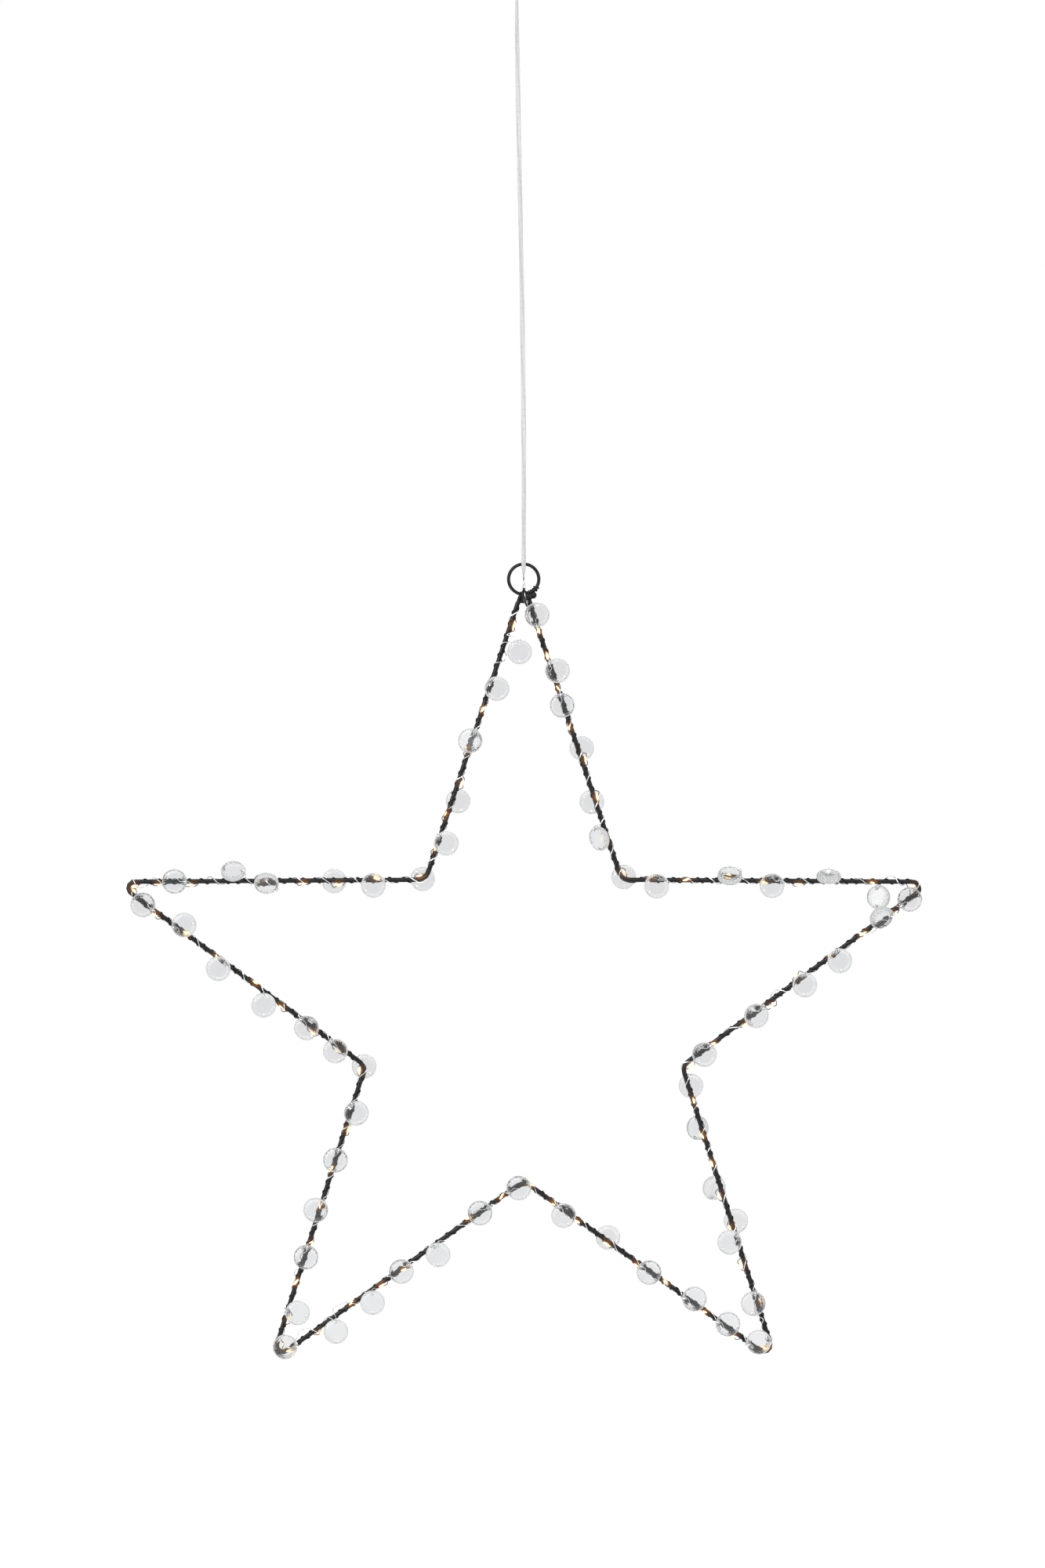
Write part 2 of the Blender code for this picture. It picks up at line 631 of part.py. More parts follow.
def lead_route():
    """The lead: up from the splice, out past the ring's front, to the loop and back down."""
    low = splice_low() + SPLICE_LENGTH + FIT_GAP
    strand = LEAD_RADIUS + FIT_GAP / 2
    neck = LEAD_RADIUS - LOOP_NECK_DROP
    ring_reach = RING_WIRE_DIAMETER / 2 + FIT_GAP + LEAD_RADIUS
    ring_front = ring_reach + FIT_GAP
    ring_low = ring_centre().z + RING_DIAMETER / 2 - RING_WIRE_DIAMETER
    points = [Vector((STAR_SIDE_SHIFT, 0, low))]
    rise = ring_low - FIT_GAP - low - LEAD_DIAMETER
    for step in range(LEAD_RISE_STEPS + 1):
        share = step / LEAD_RISE_STEPS
        depth = -ring_front * smooth_step(share)
        points.append(Vector((STAR_SIDE_SHIFT, depth, low + LEAD_RADIUS + rise * share)))
    top = ring_centre().z + RING_DIAMETER / 2 + FIT_GAP
    points.append(Vector((STAR_SIDE_SHIFT, -ring_front, (top + ring_low) / 2)))
    straight = neck - SLEEVE_LENGTH - LEAD_DIAMETER
    for step in range(LEAD_STEPS + 1):
        share = step / LEAD_STEPS
        swing = math.sin(math.pi * share) * LEAD_BOW
        side = STAR_SIDE_SHIFT + (-strand - STAR_SIDE_SHIFT) * smooth_step(share) + swing
        depth = -ring_front * (1 - smooth_step(share / LEAD_SETTLE_SHARE))
        points.append(Vector((side, depth, top + (straight - top) * share)))
    points.append(Vector((-strand, 0, neck)))
    for step in range(1, LOOP_STEPS):
        share = step / LOOP_STEPS
        turn = math.pi * share
        flare = math.sin(turn)
        swell = smooth_step(flare)
        across = -(strand + (LOOP_HALF_WIDTH + LEAD_RADIUS - strand) * swell) * math.cos(turn)
        points.append(Vector((across, 0, neck + (LEAD_RADIUS - neck) * flare)))
    points.append(Vector((strand, 0, neck)))
    points.append(Vector((strand, 0, neck - SLEEVE_LENGTH - TAIL_LENGTH)))
    return points


def build_lead(made_of):
    """The clear lead that the star hangs by, up to its loop."""
    route = lead_route()
    length = sum((b - a).length for a, b in zip(route, route[1:]))
    print("supply lead: %d points, %.3f m" % (len(route), length))
    place("supply_lead", tube_curve("supply_lead", route, LEAD_RADIUS, False, None, 2), made_of)


def oval(half_width, radius, height):
    """A flat-sided oval round both strands of the lead, as points at one height."""
    points = []
    for side in (1, -1):
        for step in range(SLEEVE_CORNER_STEPS + 1):
            turn = math.pi * (step / SLEEVE_CORNER_STEPS - 0.5)
            points.append(Vector((side * (half_width + radius * math.cos(turn)),
                                  side * radius * math.sin(turn), height)))
    return points


def build_sleeve(made_of):
    """The oval sleeve that holds the lead's end beside the lead below the loop."""
    strand = LEAD_RADIUS + FIT_GAP / 2
    inner = LEAD_RADIUS / math.cos(math.pi / SLEEVE_CORNER_STEPS / 2) + FIT_GAP
    outer = inner + SLEEVE_WALL
    top = LEAD_RADIUS - LOOP_NECK_DROP - FIT_GAP
    low = top - SLEEVE_LENGTH + FIT_GAP
    shape = bmesh.new()
    loops = []
    for radius, height in ((outer, low), (outer, top), (inner, top), (inner, low)):
        loops.append([shape.verts.new(point) for point in oval(strand, radius, height)])
    for index, ring in enumerate(loops):
        after = loops[(index + 1) % len(loops)]
        for spot in range(len(ring)):
            beside = (spot + 1) % len(ring)
            shape.faces.new((ring[spot], ring[beside], after[beside], after[spot]))
    bmesh.ops.recalc_face_normals(shape, faces=shape.faces)
    mesh = bpy.data.meshes.new("lead_loop_sleeve")
    shape.to_mesh(mesh)
    shape.free()
    mesh.shade_smooth()
    mesh.set_sharp_from_angle(angle=ROUND_LIMIT)
    place("lead_loop_sleeve", mesh, made_of)


def clear_scene():
    for thing in list(bpy.data.objects):
        bpy.data.objects.remove(thing)


def main():
    clear_scene()
    black_rod = material("black_coated_rod", (0.02, 0.02, 0.022), 0.45)
    black_string = material("black_string", (0.018, 0.017, 0.016), 0.6)
    silver_wire = material("silver_wire", (0.80, 0.80, 0.80), 0.25, 1.0)
    clear_glass = material("clear_glass", (0.86, 0.88, 0.90), 0.05, 0.0, 0.45)
    clear_lead = material("clear_lead", (0.80, 0.80, 0.79), 0.3, 0.0, 0.7)
    build_frame(black_rod)
    build_ring(black_rod)
    build_binding(black_string)
    build_string(black_string)
    build_wire(silver_wire)
    build_discs(clear_glass)
    build_splice(silver_wire)
    build_lead(clear_lead)
    build_sleeve(silver_wire)


main()
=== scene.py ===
"""A hanging star of black rod, wound with a lamp string and a silver wire that carries discs."""

import json
import math
from bisect import bisect_right

import bpy
from bpy.props import FloatProperty, FloatVectorProperty, IntProperty, PointerProperty
from bpy.types import Operator, Panel, PropertyGroup
from mathutils import Matrix, Vector


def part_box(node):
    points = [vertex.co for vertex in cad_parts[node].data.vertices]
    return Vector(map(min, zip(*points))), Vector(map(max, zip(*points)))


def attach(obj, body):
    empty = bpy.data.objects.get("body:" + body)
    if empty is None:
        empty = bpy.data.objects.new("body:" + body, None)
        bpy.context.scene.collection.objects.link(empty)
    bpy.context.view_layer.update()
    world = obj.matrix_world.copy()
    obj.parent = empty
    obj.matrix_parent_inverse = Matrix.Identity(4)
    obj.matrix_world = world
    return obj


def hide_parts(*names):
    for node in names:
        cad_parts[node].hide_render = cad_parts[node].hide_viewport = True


bl_info = {
    "name": "Wired star with glass discs",
    "version": (1, 0, 0),
    "blender": (4, 5, 0),
    "location": "3D View > Sidebar > Star",
    "description": "Dresses the packed star with its windings, lamps, discs and lead",
    "category": "Add Mesh",
}

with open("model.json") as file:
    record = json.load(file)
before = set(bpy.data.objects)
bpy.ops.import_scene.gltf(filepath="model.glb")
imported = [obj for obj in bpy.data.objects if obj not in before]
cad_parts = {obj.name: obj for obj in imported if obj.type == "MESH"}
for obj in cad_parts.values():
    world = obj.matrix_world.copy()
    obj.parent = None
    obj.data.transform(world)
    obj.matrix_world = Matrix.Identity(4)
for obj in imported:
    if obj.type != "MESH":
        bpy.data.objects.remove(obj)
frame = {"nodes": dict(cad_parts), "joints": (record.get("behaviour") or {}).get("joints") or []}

BACK = Vector((0, 1, 0))
FRONT, REAR = -1, 1

# The star's outline: where its middle hangs, its edges, and the bends of the rod's line
STAR_MIDDLE = Vector((0.0027, 0, -0.6))
EDGES = 10
TIP_BEND, WAIST_BEND = 0.0036, 0.0060
ARC_STEPS = 12

# Lengths of the short straight steps that the drawn lines are made of
EYE_STEP, STRAND_STEP, TIE_STEP, HOOK_STEP, LEAD_STEP, ROD_STEP = (
    0.0003, 0.0004, 0.0005, 0.0006, 0.0012, 0.0022)

# The camera: its place, the height of star that it sees, and its sensor in millimetres
CAMERA_SIDE, CAMERA_DISTANCE, CAMERA_HEIGHT = 0.00203, 2.5, -0.4695
VIEW_HEIGHT = 0.888
SENSOR = 36

# The lead's route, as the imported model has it: its foot inside the ring (depth and height), the
# straight run up to the sleeve, and the loop
RING_FRONT = -0.00265
LEAD_FOOT = (
    (0.0, -0.35401), (0.0, -0.35291), (-0.00041, -0.35151), (-0.00132, -0.35011),
    (-0.00224, -0.34871), (RING_FRONT, -0.34731), (RING_FRONT, -0.34481),
)
LEAD_RUN = (-0.3437, -0.0206)
LEAD_RUN_STEPS = 48
LEAD_SETTLE = 1 / 3
LEAD_BOW = 0.0008
STRAND_SHIFT = 0.00125
LOOP_NECK = -0.0139
LOOP_TOP = 0.0011
LOOP_REACH = 0.0061
LOOP_STEPS = 24
LEAD_END = -0.0199

# The lead's make: the taper at its foot, its cut face as shares of its width, and its two cores
FOOT_WIDTH, FOOT_TAPER = 0.14, 0.0100
CORE_SHARE, GROOVE_SHARE = 0.25, 0.17
FACE_STEPS = 6
CORE_RADIUS = 0.00042
CORE_THIN, CORE_BARE = 0.20, 0.36

# The lead's twist in radians: at its foot, its sway and how often that comes, and by the loop
TWIST_FOOT, TWIST_SWAY, TWIST_SWAYS, TWIST_LOOP = 0.15, 0.5, 5.0, 1.1

# The splice: its eye's two strands, the twist round them, and its loose ends as side and depth at
# the star, with each point's share of that depth, side step and height
EYE_STRAND, EYE_WIDTH, EYE_NECK = 0.00034, 0.00085, 0.00020
EYE_START, EYE_SPIN, EYE_STEPS = 0.3, 1.3, 24
TWIST_RADIUS, TWIST_REACH, TWIST_TURN, TWIST_STEPS = 0.00026, 0.00045, 0.9, 20
END_RADIUS = 0.00022
LOOSE_ENDS = ((-0.0006, -0.0036), (0.0006, -0.0034))
END_COURSE = ((0.8, 0, -0.0026), (1, 0.0006, -0.0056), (0.9, 0.0016, -0.0088),
              (0.6, 0.0030, -0.0106))

# The binding at the top: its string, its ties (place from the ring's foot, turns, spread, start),
# the coil on the ring (where it starts, its span in degrees, turns), the loose end and the knot
TIE_RADIUS = 0.0005
TIE_STEPS = 14
TIES = (((-0.0002, 0, 0.0003), 12, 0.0024, 0.0), ((0.0010, 0, -0.0002), 9, 0.0034, 1.3))
TIE_DEPTH, TIE_UNEVEN, TIE_DROP, TIE_RISE, TIE_SIDE = 0.0024, 0.0004, -0.0016, 0.0031, 0.0009
COIL_START, COIL_SPAN, COIL_TURNS, COIL_STEPS = 121, 36, 3.5, 56
STRING_END = (
    (0.0002, -0.0004, 0.0030), (0.0000, -0.0016, 0.0019), (-0.0006, -0.0031, 0.0004),
    (0.0003, -0.0034, -0.0022), (0.0010, -0.0031, -0.0050), (0.0022, -0.0020, -0.0066),
)
KNOT_PLACE, KNOT_SIZE, KNOT_LEAN = (0.0055, -0.0014, -0.0007), 0.0020, 0.7
KNOT_STEPS, KNOT_ROUND, KNOT_WIDE, KNOT_TALL = 72, 12, 0.66, 0.7

# The lamp string: how deep its wires lie on the rod, its twin wires' shift, its uneven winding
# (size and waves round the star), and the room that it leaves at the rod's bends
STRING_SEAT = 0.36
STRING_STEPS = 14
TWIN_SHIFT = 0.45
STRING_SWAYS = ((0.8, 61), (0.5, 23))
STRING_LIFT, LIFT_WAVES = 0.00005, 97
BEND_CLEAR, BEND_EASE = 0.004, 0.005

# A lamp's hook of string: way along the rod and turn round it at each of its five points
HOOK = ((-0.0042, -0.9), (-0.0026, -0.25), (0, 0), (0.0024, 0.2), (0.0042, 0.9))
HOOK_SLACK, HOOK_SPREAD = 0.0004, 0.0014

# Lamps: how far off the rod, lean, spread of size, the pointed end (where it begins and how it is
# drawn out), the chip as shares of the width, and how far the painted lamp light reaches on the
# black pieces
LAMP_SEAT = 0.42
LAMP_LEAN, LAMP_SPREAD = 0.45, 0.25
POINT_START, POINT_SHAPE = 0.0002, (0.86, 0.86, 1.12)
CHIP_SIZE, CHIP_LENGTH, CHIP_EDGE = 0.34, 1.7, 0.06
PAINTED_GLOW_REACH = 0.0025

# The bead wire: how deep it lies on the string, its room beside a disc, its steps for each turn,
# and its uneven winding (how far it lifts, from what height that shows, how far it drifts)
WIRE_SEAT = 0.35
DISC_ROOM = 0.0022
WIRE_STEPS = 12
WIRE_LIFT, WIRE_HUG = 0.0022, 0.0010
WIRE_DRIFT = (0.35, 0.3)

# The wire through a disc's hole and back outside its rim: share of the disc's half thickness,
# height beyond that, and way outside
EYE_COURSE = (
    (-1, -0.0009, 0), (0, 0, 0), (1, 0.0001, 0), (1, 0.0004, 0.0009), (0.75, 0, 0.0020),
    (-0.2, 0, 0.0024), (-1, -0.0009, 0.0021),
)

# A disc: height of its middle off the rod's line, its holes, its girdle, its cuts on each side as
# share of the half thickness and narrowing, and its flat face
DISC_MID = 0.0070492
HOLE_REACH = 0.0052
GIRDLE = 0.14
CUTS = ((0.38, 0.965), (0.25, 0.925), (0.23, 0.74))
FACE_SHARE = 0.72
FLAT = 0.00001

# The rim's ground faces: how far out they begin, how steep they are in most patches and in the
# others, and the patches' waves round the rim, waves in height and share
RIM_SHARE = 0.9
GROUND_STEEP, GROUND_FEW = 0.75, 0.4
PATCH_WAVES, PATCH_RISE, PATCH_SHARE = 31, 4000, 0.31

# Angles in degrees under which neighbouring faces are shaded as one
DISC_SMOOTH, WIRE_SMOOTH = 12, 50

# Discs that lean further than their hinge: degrees about the rod, and about the way to their
# middle. The steep ones have roomier holes.
LEANS = {
    "05": (12, 0), "07": (-14, 0), "09": (-24, 0), "10": (0, 31), "11": (-40, 0), "14": (0, -10),
    "16": (0, 38), "17": (0, -26), "24": (8, 0), "42": (-8, 0), "43": (10, 0), "48": (0, 14),
}
STEEP_LEAN, ROOMY_HOLE = 20.0, 1.6

# Discs of the greener glass, which hang along the lower left edges
GREEN_DISCS = ("26", "27", "28", "29", "30", "31", "32", "33", "35")

# Slack stretches of the bead wire: edge, share of it, half length, height, and where it swings out
# to, 0 for the star's inside and pi for its outside
IN, OUT = 0, math.pi
SLACKS = (
    (5, 0.731, 0.0120, 0.0022, IN), (5, 0.866, 0.0095, 0.0030, IN),
    (8, 0.080, 0.0060, 0.0018, IN), (2, 0.244, 0.0070, 0.0016, OUT),
    (2, 0.620, 0.0060, 0.0012, IN), (9, 0.760, 0.0060, 0.0016, IN),
    (6, 0.300, 0.0055, 0.0012, OUT), (3, 0.830, 0.0060, 0.0012, IN),
    (1, 0.870, 0.0050, 0.0012, OUT),
)

# The stage: the floor, its glow, and the lamps' places, turns in degrees, sizes and powers
FLOOR_SIZE, FLOOR_HEIGHT = 9, -1.02
FLOOR_GLOW, FLOOR_LIT = 1.35, 0.6
STUDIO_LAMPS = (
    ((-1.6, -2.2, 0.9), (60, 0, -36), 1.6, 26), ((1.8, -1.6, 0.2), (80, 0, 50), 1.4, 14),
    ((0.3, 1.8, 0.8), (-62, 0, 0), 1.8, 16),
)

# The surroundings: light on the object, seen through glass ahead, and in gloss, with a bright strip
AMBIENT, GLASS_LEVEL, GLOSS_LEVEL, STRIP_LEVEL = 0.50, 0.93, 0.18, 4.0
STRIP_NEAR, STRIP_FAR, STRIP_TILT, STRIP_EDGE = -0.52, -0.84, (0.8, 0.6), 0.25

# Lamps on each edge: place as a share of the edge, and millimetres to the star's inside
LAMPS = (
    ((0.153, 0.0), (0.24, 0.0), (0.35, -0.1), (0.48, 1.4), (0.594, -2.3), (0.723, -1.7),
     (0.853, 1.2), (0.985, -2.6)),
    ((0.096, -1.3), (0.208, -0.3), (0.344, -1.4), (0.458, 1.1), (0.572, 2.6),
     (0.807, 0.7), (0.941, 3.4)),
    ((0.06, 3.0), (0.158, -2.2), (0.278, -0.5), (0.403, 0.8), (0.529, 2.2), (0.653, -3.0),
     (0.756, -2.5), (0.878, -0.2), (0.98, -3.4)),
    ((0.117, -0.4), (0.232, 1.4), (0.327, 0.8), (0.435, 2.6), (0.544, 2.1),
     (0.67, 2.6), (0.798, -2.4), (0.95, 1.8)),
    ((0.046, 3.2), (0.159, -2.2), (0.283, -0.6), (0.439, 0.4), (0.548, -1.6), (0.665, -1.8),
     (0.788, -1.2), (0.881, -1.0), (0.976, 0.8)),
    ((0.086, 0.3), (0.212, 1.3), (0.478, -1.1), (0.568, -1.3), (0.68, 0.8),
     (0.815, -2.8), (0.93, -0.6)),
    ((0.054, 3.6), (0.151, 2.9), (0.269, -0.4), (0.398, 1.9), (0.528, -0.7), (0.651, -0.9),
     (0.788, 1.9), (0.984, -2.5)),
    ((0.103, -2.6), (0.203, -2.6), (0.333, -1.4), (0.443, 1.3), (0.591, -0.2),
     (0.719, 1.0), (0.836, -1.8), (0.944, 2.8)),
    ((0.054, 3.2), (0.14, 2.0), (0.244, 2.6), (0.471, -2.7), (0.605, 1.9), (0.717, 2.6),
     (0.84, -0.9), (0.985, -2.2)),
    ((0.108, -0.8), (0.222, -1.3), (0.333, 2.5), (0.442, -1.6), (0.579, 0.3), (0.867, 2.1)),
)

# Discs at the corners: edge, place along it, shift to the inside as a share of the disc, side
CORNER_DISCS = (
    (0, 0.105, -0.13, FRONT), (1, 0.008, -0.10, REAR), (2, 0.093, -0.01, FRONT),
    (3, 0.073, -0.11, REAR), (4, 0.086, 0.27, FRONT), (5, 0.024, -0.08, FRONT),
    (5, 0.932, 0.20, FRONT), (7, 0.002, -0.08, REAR), (7, 0.883, -0.06, FRONT),
    (9, -0.002, -0.14, REAR),
)


def metres(name, description, default, least):
    return FloatProperty(
        name=name, description=description, default=default, min=least, unit="LENGTH")


def colour(name, description, default):
    return FloatVectorProperty(
        name=name, description=description, default=default, subtype="COLOR", size=3, min=0, max=1)


class StarSizes(PropertyGroup):
    """Sizes that a user would change."""

    tip_radius: metres(
        "Tip radius", "From the star's middle to the crossing of two edges at a tip", 0.2430, 0.05)
    waist_radius: metres("Waist radius", "From the star's middle to an inner corner", 0.0943, 0.02)
    rod_diameter: metres("Rod diameter", "Thickness of the bent rod", 0.00265, 0.001)
    string_diameter: metres(
        "String diameter", "Thickness of each of the lamp string's two black wires",
        0.00054, 0.0002)
    string_pitch: metres(
        "String pitch", "Length of rod that one turn of the string takes", 0.0063, 0.002)
    wire_diameter: metres("Bead wire diameter", "Thickness of the silver wire", 0.00048, 0.0001)
    wire_pitch: metres(
        "Bead wire pitch", "Length of rod that one turn of the silver wire takes", 0.0135, 0.002)
    disc_diameter: metres("Disc diameter", "Width of a glass disc", 0.0140, 0.004)
    disc_thickness: metres("Disc thickness", "Height of a glass disc", 0.0050, 0.001)
    hole_diameter: metres("Hole diameter", "Width of each of a disc's two holes", 0.0015, 0.0004)
    lamp_diameter: metres("Lamp diameter", "Width of a lamp's clear drop", 0.0016, 0.001)
    lamp_length: metres("Lamp length", "Length of a lamp's clear drop", 0.0037, 0.001)
    ring_diameter: metres("Ring diameter", "Outer width of the hanging ring", 0.0190, 0.006)
    ring_wire: metres("Ring wire diameter", "Thickness of the hanging ring", 0.0019, 0.0005)
    lead_width: metres("Lead width", "Width of the flat twin lead", 0.0026, 0.001)
    disc_sides: IntProperty(
        name="Disc sides", description="Facets round a disc's rim", default=24, min=8, max=32)


class StarFinishes(PropertyGroup):
    """Colours that a user would change."""

    rod: colour("Rod", "Colour of the rod's black coat", (0.0046, 0.0045, 0.0048))
    string: colour("String", "Colour of the lamp string's lacquer", (0.0042, 0.0040, 0.0040))
    # Painted lamp light: the brown to gold colour painted on the black pieces beside each lamp
    painted_lamp_colour: colour(
        "Lit string", "Colour of the black parts beside a lit lamp", (0.24, 0.10, 0.035))
    silver: colour("Silver wire", "Colour of the bright bead wire", (0.95, 0.95, 0.95))
    glass: colour("Glass", "Tint of the clear discs", (0.77, 0.77, 0.785))
    lamp: colour("Lamp light", "Colour of a lit lamp", (0.86, 0.56, 0.22))
    sheath: colour("Lead sheath", "Tint of the clear lead", (0.93, 0.93, 0.915))
    floor: colour("Floor", "Colour of the floor and surroundings", (0.93, 0.93, 0.93))


def sizes():
    return bpy.context.scene.star_sizes


def finishes():
    return bpy.context.scene.star_finishes


# Shader building

class Wire:
    """A node socket that takes part in sums."""

    def __init__(self, graph, socket):
        self.graph = graph
        self.socket = socket

    def sum(self, operation, *values):
        return self.graph.node("ShaderNodeMath", {"operation": operation}, *values)

    def __add__(self, other):
        return self.sum("ADD", self, other)

    def __radd__(self, other):
        return self.sum("ADD", other, self)

    def __sub__(self, other):
        return self.sum("SUBTRACT", self, other)

    def __rsub__(self, other):
        return self.sum("SUBTRACT", other, self)

    def __mul__(self, other):
        return self.sum("MULTIPLY", self, other)

    def __rmul__(self, other):
        return self.sum("MULTIPLY", other, self)

    def __gt__(self, other):
        return self.sum("GREATER_THAN", self, other)

    def __lt__(self, other):
        return self.sum("LESS_THAN", self, other)


class Finish:
    """A material or world whose nodes are added one call at a time."""

    def __init__(self, owner):
        owner.use_nodes = True
        self.owner = owner
        self.tree = owner.node_tree
        self.tree.nodes.clear()

    def node(self, kind, settings=None, *values, output=0, **named):
        made = self.tree.nodes.new(kind)
        for key, value in (settings or {}).items():
            setattr(made, key, value)
        for key, value in list(enumerate(values)) + list(named.items()):
            self.feed(made, key, value)
        return Wire(self, made.outputs[output]) if made.outputs else None

    def feed(self, made, key, value):
        socket = made.inputs[key.replace("_", " ") if isinstance(key, str) else key]
        if isinstance(value, Wire):
            self.tree.links.new(value.socket, socket)
        elif hasattr(socket.default_value, "__len__"):
            spare = len(socket.default_value) - len(value)
            socket.default_value = (*value, *[1.0] * spare)
        else:
            socket.default_value = value

    def parts(self, kind, names, *values):
        """The named outputs of one node."""
        made = self.node(kind, None, *values).socket.node
        return [Wire(self, made.outputs[name]) for name in names]

    def rays(self):
        """Whether a ray comes straight from the camera, off a gloss or through glass."""
        return self.parts("ShaderNodeLightPath",
                          ("Is Camera Ray", "Is Glossy Ray", "Is Transmission Ray"))

    def mix(self, share, one, other):
        made = self.tree.nodes.new("ShaderNodeMix")
        made.data_type = "RGBA"
        for key, value in ((0, share), (6, one), (7, other)):
            self.feed(made, key, value)
        return Wire(self, made.outputs[2])

    def place(self):
        return self.node("ShaderNodeTexCoord", output=3)

    def noise(self, scale, detail):
        return self.node("ShaderNodeTexNoise", Vector=self.place(), Scale=scale, Detail=detail)

    def mark(self, name):
        """A value that the mesh carries at each point."""
        return self.node("ShaderNodeAttribute", {"attribute_name": name}, output=2)

    def bump(self, height, depth, strength):
        return self.node("ShaderNodeBump", Strength=strength, Distance=depth, Height=height)

    def surface(self, shader):
        self.node("ShaderNodeOutputMaterial", None, shader)
        return self.owner

    def principled(self, **sockets):
        return self.surface(self.node("ShaderNodeBsdfPrincipled", **sockets))


def finish_of(name):
    return Finish(bpy.data.materials.new(name))


def shaded(tint, share):
    return [value * share for value in tint]


COATS = {}


def coat(maker):
    """The material that a finish function makes, made once and shared by its pieces."""
    if maker not in COATS:
        COATS[maker] = maker()
    return COATS[maker]


def paint_lamp_light(look, lit, worn, glow, **sockets):
    """Ends a black finish with painted lamp light: brown to gold in its colour, and a faint glow of
    its own, where a lamp is near.
    """
    brown = finishes().painted_lamp_colour
    return look.principled(
        Base_Color=look.mix(lit, worn, brown), Specular_IOR_Level=0.3, Emission_Strength=glow,
        Emission_Color=look.mix(look.mark("lamp_glow"), (0, 0, 0), brown), **sockets)


def rod_finish():
    """Satin black coat with a fine grain and low lumps, and painted lamp light beside the lamps."""
    look = finish_of("black_coated_rod")
    rod = finishes().rod
    grain = look.noise(900.0, 3.0)
    lumps = look.noise(420.0, 1.0)
    return paint_lamp_light(look, look.mark("lamp_glow") * 0.7, look.mix(grain, rod, shaded(rod, 1.9)), 0.45,
                   Roughness=0.20 + grain * 0.22,
                   Normal=look.bump(grain * 0.3 + lumps, 0.0003, 0.35))


def string_finish():
    """Black lacquered wire with a fine grain, and painted lamp light beside the lamps."""
    look = finish_of("black_lamp_string")
    string = finishes().string
    grain = look.noise(1400.0, 2.0)
    return paint_lamp_light(look, look.mark("lamp_glow"), look.mix(grain, string, shaded(string, 2.2)), 0.7,
                   Roughness=0.34 + grain * 0.2, Normal=look.bump(grain, 0.0001, 0.3))


def silver_finish():
    """Bright drawn wire with fine tarnish."""
    look = finish_of("silver_bead_wire")
    silver = finishes().silver
    grain = look.noise(700.0, 2.0)
    return look.principled(Base_Color=look.mix(grain, silver, shaded(silver, 0.82)), Metallic=1.0,
                           Roughness=0.18 + grain * 0.16)


def glass_finish():
    """Clear pressed glass, with the fine ripple, specks and cut edge that its faces show."""
    look = finish_of("clear_disc_glass")
    glass = finishes().glass
    greener = [value * share for value, share in zip(glass, (0.965, 1.015, 0.99))]
    ripple = look.noise(260.0, 2.0)
    specks = look.noise(2600.0, 1.0)
    dents = look.noise(1300.0, 2.0)
    facets = look.mark("cut_facets")
    flecks = facets * (dents > 0.55)
    plain = look.mix(ripple * 0.8, look.mix(look.mark("glass_cast"), glass, greener),
                     shaded(glass, 0.93))
    plain = look.mix(flecks * 0.6, plain, shaded(glass, 0.78))
    slant = look.node("ShaderNodeLayerWeight", Blend=0.4, output=1)
    return look.principled(
        Base_Color=look.mix(slant, plain, (0.985, 0.985, 0.985)), Roughness=(specks > 0.72) * 0.12,
        Normal=look.bump(ripple * 0.3 + dents * (facets * 2.8 + 0.22), 0.0002, 0.7),
        Transmission_Weight=1.0, IOR=1.5)


def rim_finish():
    """The ground edge of a disc, left pale and unpolished."""
    look = finish_of("ground_disc_rim")
    grit = look.noise(1800.0, 2.0)
    return look.principled(
        Base_Color=look.mix(grit, (0.90, 0.91, 0.91), (0.74, 0.75, 0.75)),
        Roughness=0.32 + grit * 0.2, Transmission_Weight=0.35, IOR=1.3)


def lamp_finish():
    """A lamp's clear drop, which glows warm all through."""
    look = finish_of("lamp_resin")
    lamp = finishes().lamp
    swirl = look.noise(500.0, 2.0)
    rim = look.node("ShaderNodeLayerWeight", Blend=0.55, output=1)
    return look.principled(
        Base_Color=look.mix(swirl, lamp, (1.0, 0.90, 0.72)), Roughness=0.12 + swirl * 0.1,
        Emission_Color=look.mix(rim, (1.0, 0.90, 0.62), lamp), Emission_Strength=0.95)


def chip_finish():
    """The lit chip inside a lamp."""
    look = finish_of("lamp_chip")
    glow = look.mix(look.noise(900.0, 1.0), (1.0, 0.82, 0.50), (1.0, 0.90, 0.68))
    return look.principled(Base_Color=(1.0, 0.9, 0.7), Roughness=0.5, Emission_Color=glow,
                           Emission_Strength=9.0)


def sheath_finish():
    """The lead's clear sheath, slightly clouded, with the lay of its strands showing through."""
    look = finish_of("clear_lead_sheath")
    sheath = finishes().sheath
    cloud = look.noise(420.0, 3.0)
    across, up = look.parts("ShaderNodeSeparateXYZ", "XZ", look.place())
    course = across * 2600.0 + up * 150.0
    strand = course.sum("SINE", course) > 0.5
    lay = up * 1750.0
    tick = (lay.sum("SINE", lay) > 0.9) * (cloud > 0.5)
    pale = look.mix(cloud, sheath, shaded(sheath, 0.94))
    return look.principled(
        Base_Color=look.mix(strand * 0.55 + tick * 0.35, pale, shaded(sheath, 0.72)),
        Roughness=0.3 + cloud * 0.2, Transmission_Weight=0.25, IOR=1.3,
        Normal=look.bump(cloud, 0.0002, 0.1))


def core_finish():
    """The tinned strands seen inside the sheath."""
    look = finish_of("lead_core")
    strands = look.noise(3000.0, 1.0)
    return look.principled(Base_Color=look.mix(strands, (0.22, 0.215, 0.21), (0.12, 0.115, 0.11)),
                           Metallic=0.5, Roughness=0.35 + strands * 0.2)


# Modelling helpers

def set_mode(mode):
    bpy.ops.object.mode_set(mode=mode)


